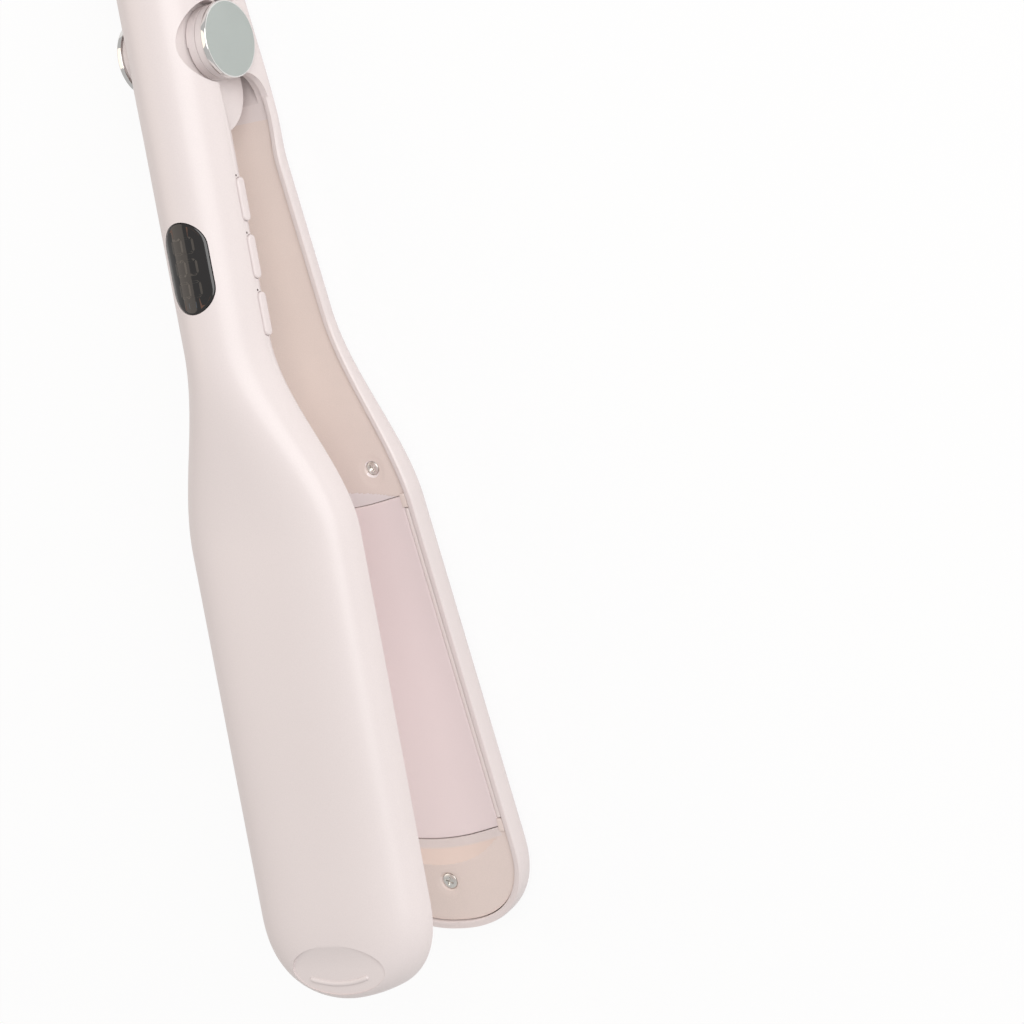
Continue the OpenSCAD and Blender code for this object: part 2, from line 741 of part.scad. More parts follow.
// A soft scoop in the tube round each ear, which widens outwards
module ear_scoops() {
    y0 = knuckle_w / 2 + ear_scoop_floor;
    both_sides() translate([0, y0, 0]) rotate([-90, 0, 0])
        cylinder(r1 = ear_recess_r, r2 = ear_recess_r + (ear_out - y0) * ear_scoop_slope, h = ear_out - y0);
}
module bush_bore() {
    cross_bar(0, 0, pin_r + bush_wall + pin_clear, -knuckle_w, knuckle_w);
}
module bush_seats() {
    half = knuckle_w / 2 - wall;
    cross_bar(0, 0, pin_r + bush_wall + bush_flange_w + pin_clear, -half, half);
}
module half_space(is_top) {
    translate([-far, -far, is_top ? tail_rise : tail_rise - far]) cube([2 * far, 2 * far, far]);
}
module swivel_hole() {
    translate([-tail_len - over, 0, tail_rise]) rotate([0, 90, 0])
        cylinder(r = swivel_r + swivel_clear, h = wall + 2 * over);
}
// Middle of button i: it follows the side of the shell where the neck begins
function button_at(i) =
    let (x = button_x + i * button_pitch)
    [x, half_w(UPPER, x) - grip_r, 0];
module button_slots() {
    for (i = [-1 : 1]) translate(button_at(i))
        button_outline_block(button_clear, grip_r - wall - over, grip_r + over, true);
}
module stadium(length, width) {
    for (side = [-1, 1]) translate([side * (length - width) / 2, 0]) circle(d = width);
    square([length - width, width], center = true);
}
// A bar with the outline of a button, along Y, in the frame of the meeting plane
module button_outline_block(clear, y0, y1, is_open) {
    translate([0, y1, button_h0]) rotate([90, 0, 0]) linear_extrude(y1 - y0) {
        stadium(button_len + 2 * clear, button_h + 2 * clear);
        if (is_open) translate([-button_len / 2 - clear, -button_h])
            square([button_len + 2 * clear, button_h]);
    }
}
module display_block(clear, h0, h1) {
    translate([display_x, 0, h0]) linear_extrude(h1 - h0)
        stadium(display_len + 2 * clear, display_w + 2 * clear);
}

module upper_shell() {
    color(pink) upper_place() difference() {
        union() {
            meeting_frame(UPPER) scooped_shell(UPPER);
            intersection() {
                knuckle_walls(-ear_recess_r - wall, ear_recess_r + wall);
                half_space(true);
            }
        }
        meeting_frame(UPPER) {
            screw_pilots(UPPER);
            button_slots();
            display_block(lens_clear, board_h, upper_grip_top + over);
        }
        ear_recesses();
        ear_scoops();
        bush_bore();
        swivel_hole();
    }
}

// The nose is a ball with flat flanks, which closes the tail tube between the ears
module nose(layer) {
    half = knuckle_w / 2 - layer;
    intersection() {
        translate([nose_x, 0, nose_z]) sphere(r = nose_r - layer);
        translate([0, -half, -2 * nose_r]) cube([3 * nose_r, 2 * half, 4 * nose_r]);
    }
}
// Hollow of the tail tube, narrower between the ears
module tail_hollow() {
    front = ear_recess_r + wall;
    half = knuckle_w / 2 - wall;
    intersection() {
        tail_turned(wall, tube_end - 1);
        union() {
            translate([-tail_len, -grip_w, -grip_w]) cube([tail_len - front, 2 * grip_w, 2 * grip_w]);
            translate([-grip_w, -half, -grip_w]) cube([2 * grip_w, 2 * half, 2 * grip_w]);
        }
    }
}
module tail_shell() {
    shelf_w = grip_r - wall - cover_gap;
    shelf_x = ear_recess_r + 0.5;
    color(pink) upper_place() union() {
        difference() {
            intersection() {
                union() {
                    tail_turned(0, tube_end);
                    nose(0);
                }
                half_space(false);
            }
            tail_hollow();
            nose(wall);
            ear_recesses();
            ear_scoops();
            bush_bore();
            bush_seats();
            swivel_hole();
            both_sides() translate([0, knuckle_w / 2, -2 * grip_w])
                cube([3 * grip_r, grip_w, 2 * grip_w + tail_rise - shelf_t]);
        }
        translate([shelf_x, -shelf_w, tail_rise - shelf_t])
            cube([shelf_end - shelf_x, 2 * shelf_w, shelf_t]);
    }
}

module upper_inner_cover() {
    x0 = shelf_end + cover_end_gap;
    color(tan) arm_place(UPPER) difference() {
        union() {
            cover_panel(UPPER, x0, cover_end, cover_t);
            ramp_tongue(UPPER, cover_end, -1);
            lip_strips();
            screw_pads(UPPER, false);
            for (x = [board_start + post_margin, board_end - post_margin]) for (y = [-post_y, 0])
                translate([x, y, cover_h(UPPER, x) + cover_t / 2])
                    cylinder(r = board_post_r, h = board_h - cover_h(UPPER, x) - cover_t / 2);
        }
        screw_holes(UPPER, false);
    }
}
module upper_tip_cover() { color(tan) arm_place(UPPER) tip_cover(UPPER); }
module upper_plate() { color(plate_pink) arm_place(UPPER) plate(UPPER); }
module upper_plate_carrier() { color("dimgray") arm_place(UPPER) plate_carrier(UPPER); }
module upper_heater() { color("gainsboro") arm_place(UPPER) heater(UPPER); }
module upper_plate_cushions() { color("indianred") arm_place(UPPER) plate_cushions(); }
module upper_sensor() { color("orange") arm_place(UPPER) sensor(UPPER); }
module upper_cover_screws() { color("silver") arm_place(UPPER) cover_screws(UPPER); }
module upper_leads() {
    h = board_h + board_t / 2;
    end_h = heater_h(UPPER) + heater_t / 2;
    bend_h = min(h, inner_skin_h(UPPER, plate_start - lead_bend, lead_y) - lead_r - lead_gap);
    color("white") arm_place(UPPER) leads([[board_end + lead_gap, lead_y, h],
        [plate_start - lead_bend, lead_y, bend_h], [plate_start, lead_y, end_h + lead_drop],
        [heater_x - lead_gap, lead_y, end_h]]);
}

module hinge_bushes() {
    flange_y = knuckle_w / 2 - wall;
    color("goldenrod") upper_place() difference() {
        both_sides() {
            cross_bar(0, 0, pin_r + bush_wall, flange_y - bush_flange_t, knuckle_w / 2 + ear_gap / 2);
            cross_bar(0, 0, pin_r + bush_wall + bush_flange_w, flange_y - bush_flange_t, flange_y);
        }
        pin_bore();
    }
}

// Torsion spring round the hinge pin: a helix with two straight legs
spring_wire_r = 0.6;
spring_r = 4.6;
spring_turns = 4;
spring_steps = 16;
spring_sides = 6;
spring_clear = 0.3;
spring_half = knuckle_w / 2 - wall - bush_flange_t - spring_wire_r - spring_clear;
spring_leg = 4;
spring_short_leg = 2;
function spring_point(t) = [spring_r * cos(t * 360), spring_half * (2 * t / spring_turns - 1),
    spring_r * sin(t * 360)];
function unit(v) = v / norm(v);
function tangent(path, i) =
    unit(path[min(i + 1, len(path) - 1)] - path[max(i - 1, 0)]);
module swept_wire(path, r, sides) {
    loft([for (i = [0 : len(path) - 1])
        let (t = tangent(path, i), v = unit(cross(t, [0, 1, 0.001])), u = cross(v, t))
        [for (k = [0 : sides - 1]) let (a = 360 * k / sides)
            path[i] + r * (cos(a) * u + sin(a) * v)]]);
}
module hinge_spring() {
    path = [for (i = [0 : spring_turns * spring_steps]) spring_point(i / spring_steps)];
    color("dimgray") upper_place()
        swept_wire(concat([path[0] - [0, 0, spring_leg]], path,
            [path[len(path) - 1] + [0, 0, spring_short_leg]]), spring_wire_r, spring_sides);
}

module display_lens() {
    color(dark) arm_place(UPPER) intersection() {
        display_block(0, board_h, upper_grip_top + over);
        translate([0, 0, seam_h]) rotate([0, 90, 0]) difference() {
            cylinder(r = grip_r, h = far, $fn = 128);
            translate([0, 0, -over]) cylinder(r = grip_r - lens_t, h = far + 2 * over, $fn = 128);
        }
    }
}
module display_module() {
    color("#404a52") arm_place(UPPER)
        translate([display_x - module_size[0] / 2, -module_size[1] / 2, board_h + board_t])
        cube(module_size);
}
module control_board() {
    color("seagreen") arm_place(UPPER) translate([board_start, -board_half_w, board_h])
        cube([board_end - board_start, 2 * board_half_w, board_t]);
}

// Button flange, switch and side board lie one behind the other along Y
flange_y1 = grip_r - wall - flange_gap;
flange_y0 = flange_y1 - flange_t;
head_y0 = grip_r - wall - cover_gap + button_travel + press_gap;
plunger_y = flange_y0 - button_travel - press_gap;
switch_y = plunger_y - plunger_len;
module button_board() {
    half = button_pitch + side_board_margin;
    low = cover_h(UPPER, button_x) + cover_t;
    mid = (flange_low + flange_high) / 2;
    color("seagreen") arm_place(UPPER) {
        translate([button_x - half, switch_y - switch_size[1] - side_board_t, low])
            cube([2 * half, side_board_t, side_board_h]);
        for (i = [-1 : 1]) translate([button_x + i * button_pitch, switch_y, mid]) {
            translate([-switch_size[0] / 2, -switch_size[1], -switch_size[2] / 2]) cube(switch_size);
            rotate([-90, 0, 0]) cylinder(r = plunger_r, h = plunger_y - switch_y, $fn = 24);
        }
    }
}
module button(i) {
    y1 = grip_r + button_proud;
    neck_top = button_h0 + button_h / 2 - neck_step;
    color(pink) arm_place(UPPER) translate(button_at(i)) {
        intersection() {
            button_outline_block(0, head_y0, y1, false);
            translate([-button_len, y1 - button_crown_r, button_h0]) rotate([0, 90, 0])
                cylinder(r = button_crown_r, h = 2 * button_len);
        }
        translate([-flange_len / 2, flange_y0, flange_low])
            cube([flange_len, flange_t, flange_high - flange_low]);
        translate([-flange_len / 2, flange_y0, flange_low])
            cube([flange_len, head_y0 + button_proud - flange_y0, neck_top - flange_low]);
    }
}
module power_button() { button(-1); }
module plus_button() { button(0); }
module minus_button() { button(1); }

// Turned parts of the tail lie along X and are drawn from the cord end
module tail_lathe() {
    upper_place() translate([0, 0, tail_rise]) rotate([0, 90, 0]) rotate_extrude() children();
}
flange_x = -(tail_len - wall - swivel_end_gap);
module cord_swivel() {
    collar_x = -(tail_len + swivel_end_gap);
    neck_x = flange_x + swivel_flange_t + swivel_end_gap + retainer_t + swivel_stub;
    bore_r = cord_bore_d / 2;
    color("#d8ccc8") tail_lathe() polygon([
        [bore_r, -swivel_end], [swivel_tip_r, -swivel_end],
        [swivel_collar_r, collar_x - swivel_collar_len], [swivel_collar_r, collar_x],
        [swivel_r, collar_x], [swivel_r, flange_x],
        [swivel_flange_r, flange_x], [swivel_flange_r, flange_x + swivel_flange_t],
        [swivel_r, flange_x + swivel_flange_t], [swivel_r, neck_x], [bore_r, neck_x]]);
}
// Radius of the inner wall of the tail at x
function tail_inner_r(x) =
    let (s = clamp01((-x - tail_full) / (tail_len - wall - tail_full)))
    tail_end_r - wall + (grip_r - tail_end_r) * sqrt(1 - s * s);
module swivel_retainer() {
    x0 = flange_x + swivel_flange_t + swivel_end_gap;
    retainer_r = tail_inner_r(x0) - retainer_gap;
    color("silver") tail_lathe() translate([swivel_r + swivel_clear, x0])
        square([retainer_r - swivel_r - swivel_clear, retainer_t]);
}

lower_shell();
lower_inner_cover();
lower_tip_cover();
lower_plate();
lower_plate_carrier();
lower_heater();
lower_plate_cushions();
lower_sensor();
lower_leads();
lower_cover_screws();
hinge_pin();
hinge_cap_right();
hinge_cap_left();
upper_shell();
tail_shell();
upper_inner_cover();
upper_tip_cover();
upper_plate();
upper_plate_carrier();
upper_heater();
upper_plate_cushions();
upper_sensor();
upper_leads();
upper_cover_screws();
hinge_bushes();
hinge_spring();
display_lens();
display_module();
control_board();
button_board();
power_button();
plus_button();
minus_button();
swivel_retainer();
cord_swivel();
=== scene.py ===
# Looks of the hair straightener. Sizes are in millimetres in the frame of an arm: x from the
# hinge to the tip, y across, and a height measured outward from the plane where the arms meet.
import json
from math import acos, asin, atan2, copysign, cos, exp, hypot, pi, radians, sin, sqrt

import bmesh
import bpy
from mathutils import Matrix, Vector

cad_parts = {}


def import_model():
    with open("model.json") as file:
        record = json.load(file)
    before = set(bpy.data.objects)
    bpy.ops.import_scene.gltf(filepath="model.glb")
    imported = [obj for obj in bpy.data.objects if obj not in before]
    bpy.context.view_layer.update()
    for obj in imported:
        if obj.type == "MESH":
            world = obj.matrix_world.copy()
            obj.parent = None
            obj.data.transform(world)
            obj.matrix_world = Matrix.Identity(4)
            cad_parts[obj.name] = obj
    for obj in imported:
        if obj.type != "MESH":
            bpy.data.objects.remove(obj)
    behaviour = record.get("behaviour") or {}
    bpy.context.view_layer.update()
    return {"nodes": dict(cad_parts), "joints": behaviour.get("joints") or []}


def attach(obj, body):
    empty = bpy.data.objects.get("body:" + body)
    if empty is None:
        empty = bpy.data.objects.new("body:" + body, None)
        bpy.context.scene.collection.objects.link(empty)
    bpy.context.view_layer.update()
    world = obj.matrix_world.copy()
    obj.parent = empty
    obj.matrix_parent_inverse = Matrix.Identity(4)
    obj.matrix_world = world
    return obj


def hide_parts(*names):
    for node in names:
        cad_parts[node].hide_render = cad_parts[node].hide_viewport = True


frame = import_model()
nodes = frame["nodes"]
clamp = next(j for j in frame["joints"] if j["name"] == "clamp")

MM = 0.001
HINGE = Vector(clamp["pos_m"])
OPEN = radians(max(clamp["range_deg"]))
UPPER, LOWER = "upper", "lower"
SIDES = (1, -1)

SHARP = 32  # degrees from which an edge stays sharp
MERGE = 1e-7  # metres within which points become one
TINY = 0.0001  # radius at the pole of a turned piece

# Arms
ARM_LEN, PADDLE_W, GRIP_R, PADDLE_DEPTH = 250.0, 52.0, 12.2, 13.0
NECK_START, NECK_END, TIP_LEN, TIP_WALL_H = 76.0, 129.0, 24.0, 6.5
WALL, PADDLE_RIM, MATE_DROP, TAIL_RISE = 2.0, 0.75, 2.25, 4.5
PADDLE_TOP = PADDLE_RIM + PADDLE_DEPTH
SEAM_H = TAIL_RISE + MATE_DROP
BAND_H, BAND_IN, BAND_X0, BAND_X1 = 2.2, 0.9, 9.5, 24.0
EDGE_H, EDGE_IN, SEAM_EDGE_H, SEAM_EDGE_IN = 0.6, 0.5, 0.3, 0.15
INNER_EDGE_H = 2.6
LOWER_GRIP_RIM, LOWER_HINGE_RIM, LOWER_RIM_X0, LOWER_RIM_X1 = 6.25, 8.05, 22.0, 36.0
LOWER_END, LOWER_END_W, LOWER_END_TOP, LOWER_END_R = 13.0, 9.5, 10.4, 5.0
TIP_PLAN_EXP, TIP_SIDE_EXP, ROUND_EXP, LOWER_GRIP_EXP, PADDLE_EXP = 2.4, 2.5, 2.0, 2.6, 3.0
TAIL_LEN, TAIL_FULL, TAIL_END_R = 52.0, 40.0, 8.0

# Hinge
EAR_R, EAR_IN, EAR_OUT = 9.6, 8.2, 13.0
EAR_SPLIT, EAR_SPLIT_GAP, EAR_RECESS_R, KNUCKLE_W = 10.85, 0.15, 10.1, 15.6
EAR_FILLET, EAR_REAR_FILLET, EAR_FOOT, EAR_LAP = 8.0, 4.0, 1.2, 1.5
LOWER_RIM_DROP = LOWER_HINGE_RIM + MATE_DROP
CAP_R, CAP_BACK_R, CAP_RIM_H, CAP_BEAD = 10.0, 9.4, 1.45, 0.33
CAP_FACE_R, CAP_FACE_H, CAP_DOME = 9.57, 1.74, 0.22
NOSE_X, NOSE_Z, NOSE_R, NOSE_GAP, TUBE_END = 11.5, 1.5, 14.0, 0.9, 8.0

# Covers, plates and screws
COVER_GAP, COVER_T, COVER_RECESS, SHELF_END = 0.2, 1.4, 1.0, 26.2
PLATE_START, PLATE_END, PLATE_HALF_W = 126.5, 222.0, 22.3
PLATE_T, PLATE_SAG, PLATE_GAP, PLATE_DROP, PLATE_EDGE, RAMP_LEN = 1.5, 2.6, 0.45, 0.6, 0.35, 5.2
LIP_W, LIP_RECESS, LIP_H = 1.3, 0.3, 2.45
STRIP_Y, STRIP_U = PADDLE_W / 2 - WALL - COVER_GAP, PADDLE_RIM + LIP_RECESS
SCREWS = ((118.3, 14.8), (118.3, -14.8), (236.5, 0.0))
SCREW_R, NECK_SCREW_R, SCREW_SINK, NECK_SCREW_SINK, SHANK_R = 2.25, 1.8, 0.2, 0.12, 1.2
SCREW_DOME, CROSS_DEPTH, CROSS_LONG, CROSS_HALF = 0.45, 0.75, 0.6, 0.12
SEAT_GAP, SEAT_FLARE, RING_RISE, RING_R, RING_FALL = 0.15, 0.55, 0.18, 4.2, 1.2

# Display, buttons and swivel
DISPLAY_X, DISPLAY_LEN, DISPLAY_W = 55.4, 23.5, 13.4
BUTTON_X, BUTTON_PITCH, BUTTON_LEN, BUTTON_H, BUTTON_PROUD = 55.3, 14.8, 11.3, 2.8, 0.7
BUTTON_U = SEAM_H - 0.65
SLOT_GAP = 0.3  # how much wider an opening is than what stands in it
SWIVEL_END, SWIVEL_COLLAR_R, SWIVEL_TIP_R, CORD_R, OUTLET_R = 60.9, 7.0, 5.0, 3.0, 5.5
SWIVEL_NECK_R, SWIVEL_FLANGE_R, GROOVE_R, GROOVE_PITCH = 5.3, 7.2, 6.82, 0.95
SWIVEL_INNER_END, FLANGE_BACK, FLANGE_FRONT = -44.9, -49.7, -47.7


def clamp01(t):
    return min(1.0, max(0.0, t))


def ease(x, a, b):
    t = clamp01((x - a) / (b - a))
    return t * t * (3 - 2 * t)


def mix(a, b, t):
    return a + (b - a) * t


def root(v, n):
    return copysign(abs(v) ** (2 / n), v)


def evenly(a, b, n):
    """Values from a to b in n even steps."""
    return [a + (b - a) * k / n for k in range(n + 1)]


def ranged(a, b, step):
    """The same, in steps of about the given size."""
    return evenly(a, b, max(1, round((b - a) / step)))


def arc(a0, a1, n):
    """Angles in radians, from a0 to a1 degrees in n even steps."""
    return [radians(a) for a in evenly(a0, a1, n)]


def full_turn(n):
    return [2 * pi * k / n for k in range(n)]


def neck(x):
    return ease(x, NECK_START, NECK_END)


def band(x):
    return ease(x, BAND_X0, BAND_X1)


def half_w(arm, x):
    flare = (EAR_OUT - GRIP_R) * (1 - ease(x, BAND_X0, LOWER_RIM_X1)) if arm == LOWER else 0
    return mix(GRIP_R, PADDLE_W / 2, neck(x)) + flare


def rim_h(arm, x):
    grip = (SEAM_H - BAND_H * band(x) if arm == UPPER
            else mix(LOWER_HINGE_RIM, LOWER_GRIP_RIM, ease(x, LOWER_RIM_X0, LOWER_RIM_X1)))
    return mix(grip, PADDLE_RIM, neck(x))


def top_h(arm, x):
    return mix(SEAM_H + GRIP_R, PADDLE_TOP, neck(x)) if arm == UPPER else PADDLE_TOP


def section_exp(arm, x):
    return mix(ROUND_EXP if arm == UPPER else LOWER_GRIP_EXP, PADDLE_EXP, neck(x))


def edge_size(arm, x):
    """Height of the rim's rounded edge, and how far it draws in."""
    if arm == LOWER:
        return mix(EAR_FOOT, EDGE_H, ease(x, LOWER_RIM_X0, LOWER_RIM_X1)), EDGE_IN
    return (mix(mix(SEAM_EDGE_H, BAND_H, band(x)), EDGE_H, neck(x)),
            mix(mix(SEAM_EDGE_IN, BAND_IN, band(x)), EDGE_IN, neck(x)))


def inner_edge(arm, x):
    return mix(SEAM_EDGE_H, INNER_EDGE_H, band(x)) if arm == UPPER else INNER_EDGE_H


def tilt(arm):
    return Matrix.Rotation(-OPEN, 4, "Y") if arm == UPPER else Matrix.Identity(4)


def place(arm):
    """From an arm's millimetres to the frame's metres."""
    side = 1 if arm == UPPER else -1
    return (Matrix.Translation(HINGE) @ tilt(arm) @ Matrix.Translation((0, 0, -MATE_DROP * MM))
            @ Matrix.Diagonal((MM, MM, side * MM, 1)))


def hinge_place(arm):
    """The same, for heights measured from the hinge axis along Z."""
    return Matrix.Translation(HINGE) @ tilt(arm) @ Matrix.Diagonal((MM, MM, MM, 1))


def tube_axis():
    """Along the middle of the tail's tube, from the hinge."""
    return hinge_place(UPPER) @ Matrix.Translation((0, 0, TAIL_RISE))


def smooth(obj, sharp):
    mesh = obj.data
    mesh.polygons.foreach_set("use_smooth", [True] * len(mesh.polygons))
    mesh.set_sharp_from_angle(angle=radians(sharp))


def mesh_object(name, bm, sharp=SHARP):
    """An object of the scene from a bmesh, which is then freed."""
    mesh = bpy.data.meshes.new(name)
    bm.to_mesh(mesh)
    bm.free()
    obj = bpy.data.objects.new(name, mesh)
    bpy.context.scene.collection.objects.link(obj)
    smooth(obj, sharp)
    return obj


def new_object(name, points, faces, matrix, sharp=SHARP):
    bm = bmesh.new()
    verts = [bm.verts.new(matrix @ Vector(p)) for p in points]
    for face in faces:
        bm.faces.new([verts[i] for i in face])
    bmesh.ops.remove_doubles(bm, verts=bm.verts, dist=MERGE)
    bmesh.ops.dissolve_degenerate(bm, edges=bm.edges, dist=MERGE)
    bmesh.ops.recalc_face_normals(bm, faces=bm.faces)
    return mesh_object(name, bm, sharp)


def combine(name, objects):
    """One mesh from several objects, in world coordinates."""
    bm = bmesh.new()
    for o in objects:
        part = bmesh.new()
        part.from_mesh(o.data)
        part.transform(o.matrix_world)
        temp = bpy.data.meshes.new("temp")
        part.to_mesh(temp)
        part.free()
        bm.from_mesh(temp)
        bpy.data.meshes.remove(temp)
        bpy.data.objects.remove(o)
    return mesh_object(name, bm)


CUT, JOIN = "DIFFERENCE", "UNION"


def carve(obj, steps, sharp=SHARP):
    """Applies steps, each CUT or JOIN and a tool object that is then removed."""
    for operation, tool in steps:
        modifier = obj.modifiers.new("step", "BOOLEAN")
        modifier.operation = operation
        modifier.solver = "EXACT"
        modifier.object = tool
    graph = bpy.context.evaluated_depsgraph_get()
    mesh = bpy.data.meshes.new_from_object(obj.evaluated_get(graph))
    obj.modifiers.clear()
    obj.data = mesh
    for _, tool in steps:
        bpy.data.objects.remove(tool)
    smooth(obj, sharp)
    return obj


def ring_faces(rows, count, first=0):
    """Quads between rings of count points each, the first of them at index first."""
    return [(first + i * count + j, first + i * count + (j + 1) % count,
             first + (i + 1) * count + (j + 1) % count, first + (i + 1) * count + j)
            for i in range(rows - 1) for j in range(count)]


def loft(name, rings, matrix, sharp=SHARP, ends="flat"):
    """A surface through rings of points; its ends are flat, strips from front to back, or open."""
    n, c = len(rings), len(rings[0])
    faces = ring_faces(n, c)
    if ends == "flat":
        faces += [list(range(c)), list(range((n - 1) * c, n * c))]
    elif ends == "strips":
        faces += [[o + j, o + j + 1, o + c - 2 - j, o + c - 1 - j]
                  for o in (0, (n - 1) * c) for j in range(c // 2 - 1)]
    return new_object(name, [p for ring in rings for p in ring], faces, matrix, sharp)


def lathe(name, profile, matrix, segments=128, sharp=SHARP):
    """A turned piece from (distance along X, radius) pairs, open where the profile is a loop."""
    rings = [[(x, r * cos(a), r * sin(a)) for a in full_turn(segments)] for x, r in profile]
    return loft(name, rings, matrix, sharp, "open" if profile[0] == profile[-1] else "flat")


def cross_bar(x, z, r, y0, y1, matrix):
    """A round bar along Y, for cutting."""
    turn = matrix @ Matrix.Translation((x, 0, z)) @ Matrix.Rotation(pi / 2, 4, "Z")
    return lathe("bar", [(y0, r), (y1, r)], turn)


def block(x0, x1, y0, y1, z0, z1, matrix):
    rings = [[(x, y0, z0), (x, y1, z0), (x, y1, z1), (x, y0, z1)] for x in (x0, x1)]
    return loft("block", rings, matrix)


# Shells
CROWDING = 0.9  # how much closer together the angles are at the rim and at the crown
CREASE_DEPTH, CREASE_SIZE = 0.12, 0.3
RIM_STEPS, RIM_EXP, INNER_RIM_RISE = 8, 1.6, 0.25
RIM_STRIP = ((0.45, 0.0), (0.75, 0.12), (0.92, 0.5))  # share of the rim's width, and of its rise
TIP_SWEEP = 89.6  # degrees; the last row keeps a width


def arc_angles():
    """Angles over the section of a shell."""
    n = 32
    quarter = [90 * (k / n - CROWDING * sin(2 * pi * k / n) / (2 * pi)) for k in range(n + 1)]
    return [radians(a) for a in quarter] + [radians(180 - a) for a in quarter[-2::-1]]


ANGLES = arc_angles()


def tail_end(layer=0):
    """(distance, radius) over the rounded end of the tail, drawn in by layer."""
    return [(-(TAIL_FULL + (TAIL_LEN - layer - TAIL_FULL) * sin(a)),
             TAIL_END_R + (GRIP_R - TAIL_END_R) * cos(a) - layer) for a in arc(90, 0, 24)]


def arm_stations(arm, layer):
    """(x, half width, height of the outer face) along an arm, drawn in by layer."""
    if arm == UPPER:
        rows = [(x, r, SEAM_H + r) for x, r in tail_end(layer)]
        xs = [-30, -20, -10, 0, 5]
    else:
        rows = [(-LOWER_END + layer + (LOWER_END_R - layer) * (1 - cos(a)),
                 mix(LOWER_END_W, EAR_OUT, sin(a)) - layer,
                 mix(LOWER_END_TOP, PADDLE_TOP, sin(a)) - layer) for a in arc(0, 90, 12)]
        xs = [-4, 0, 5]
    xs += evenly(BAND_X0, LOWER_RIM_X1, 24) + evenly(40, 72, 8)
    xs += evenly(NECK_START, NECK_END, 48) + evenly(132, 222, 15)
    rows += [(x, half_w(arm, x) - layer, top_h(arm, x) - layer) for x in xs]
    tip_top = PADDLE_RIM + TIP_WALL_H
    rows += [(ARM_LEN - TIP_LEN + (TIP_LEN - layer) * root(sin(a), TIP_PLAN_EXP),
              (PADDLE_W / 2 - layer) * root(cos(a), TIP_PLAN_EXP),
              mix(tip_top, PADDLE_TOP, root(cos(a), TIP_SIDE_EXP)) - layer)
             for a in arc(0, TIP_SWEEP, 40)]
    return rows


def outer_row(arm, station):
    """The outer face's section: a softened edge at the rim, and the crown with its crease."""
    x, w, top = station
    rim, n = rim_h(arm, x), section_exp(arm, x)
    h, draw = edge_size(arm, x)
    draw = min(draw, w / 2)
    crease = CREASE_DEPTH * band(x) * (1 - neck(x)) if arm == UPPER else 0
    base = rim + h
    side = [(w - draw * (1 - t / RIM_STEPS) ** RIM_EXP, rim + h * t / RIM_STEPS) for t in range(RIM_STEPS)]
    crown = []
    for a in ANGLES:
        y, u = w * root(cos(a), n), base + (top - base) * root(sin(a), n)
        near = exp(-((u - base - CREASE_SIZE) / CREASE_SIZE) ** 2)
        crown.append((y - copysign(crease * near, y) if abs(y) > w / 2 else y, u))
    return [(x, y, u) for y, u in side + crown + [(-y, u) for y, u in side[::-1]]]


def inner_row(arm, station):
    x, w, top = station
    rim, n = rim_h(arm, x), section_exp(arm, x)
    base = rim + inner_edge(arm, x)
    return ([(x, w, rim + INNER_RIM_RISE)]
            + [(x, w * root(cos(a), n), base + (top - base) * root(sin(a), n)) for a in ANGLES]
            + [(x, -w, rim + INNER_RIM_RISE)])


def rim_strip(p, q):
    """Rim points between an outer edge p and an inner edge q."""
    return [tuple(mix(a, b, t) for a, b in zip(p[:2], q[:2])) + (mix(p[2], q[2], lift),)
            for t, lift in RIM_STRIP]


def arm_trough(name, arm):
    """The open shell of an arm, with a rim that is crowned between its two edges."""
    outer = [outer_row(arm, s) for s in arm_stations(arm, 0)]
    inner = [inner_row(arm, s) for s in arm_stations(arm, WALL)]
    rings = [o + rim_strip(o[-1], i[-1]) + i[::-1] + rim_strip(o[0], i[0])[::-1] for o, i in zip(outer, inner)]
    count, n_outer = len(rings[0]), len(outer[0])
    faces = ring_faces(len(rings), count)
    first_inner = n_outer + len(RIM_STRIP)
    last_inner = first_inner + len(inner[0])
    for start in (0, (len(rings) - 1) * count):
        faces.append([start + j for j in range(n_outer)])
        faces.append([start + j for j in range(first_inner, last_inner)])
        faces.append([start + j for j in range(n_outer - 1, first_inner + 1)]
                     + [start + j % count for j in range(last_inner - 1, count + 1)])
    return new_object(name, [p for ring in rings for p in ring], faces, place(arm))


def fillet_x(r):
    return sqrt((EAR_R + r) ** 2 - (LOWER_RIM_DROP - r) ** 2)


def ear_outline(recess, foot):
    """Side view of an ear, about the hinge axis: a disc with a foot that flows into the rim."""
    front, rear = fillet_x(EAR_FILLET), fillet_x(EAR_REAR_FILLET)
    front_z, rear_z = EAR_FILLET - LOWER_RIM_DROP, EAR_REAR_FILLET - LOWER_RIM_DROP
    touch_front = atan2(-front_z, -front) - 2 * pi
    touch_rear = atan2(-rear_z, rear)
    disc_from, disc_to = atan2(front_z, front), atan2(rear_z, -rear)
    sweep, down = (disc_to - disc_from) % (2 * pi), -pi / 2

    def bend(x, z, r, start, end, n):
        """Points on a circle round (x, z), from one angle to another."""
        return [(x + r * cos(a), z + r * sin(a)) for a in (mix(start, end, k / n) for k in range(n + 1))]

    return (bend(0, 0, EAR_R, disc_from, disc_from + sweep, 72)
            + bend(-rear, rear_z, EAR_REAR_FILLET + recess, touch_rear, down, 16)
            + [(-rear, -foot), (front, -foot)]
            + bend(front, front_z, EAR_FILLET + recess, down, touch_front, 24))


# These keep the faces of pieces that are joined or cut from lying in one plane
SHY, SLIP = 0.013, 0.02


def ear(recess, foot, y0, y1):
    """One ear as a prism along Y."""
    outline = ear_outline(recess, foot)
    rings = [[(x, y, z) for x, z in outline] for y in (y0 + SHY, y1 - SHY)]
    return loft("ear", rings, hinge_place(LOWER))


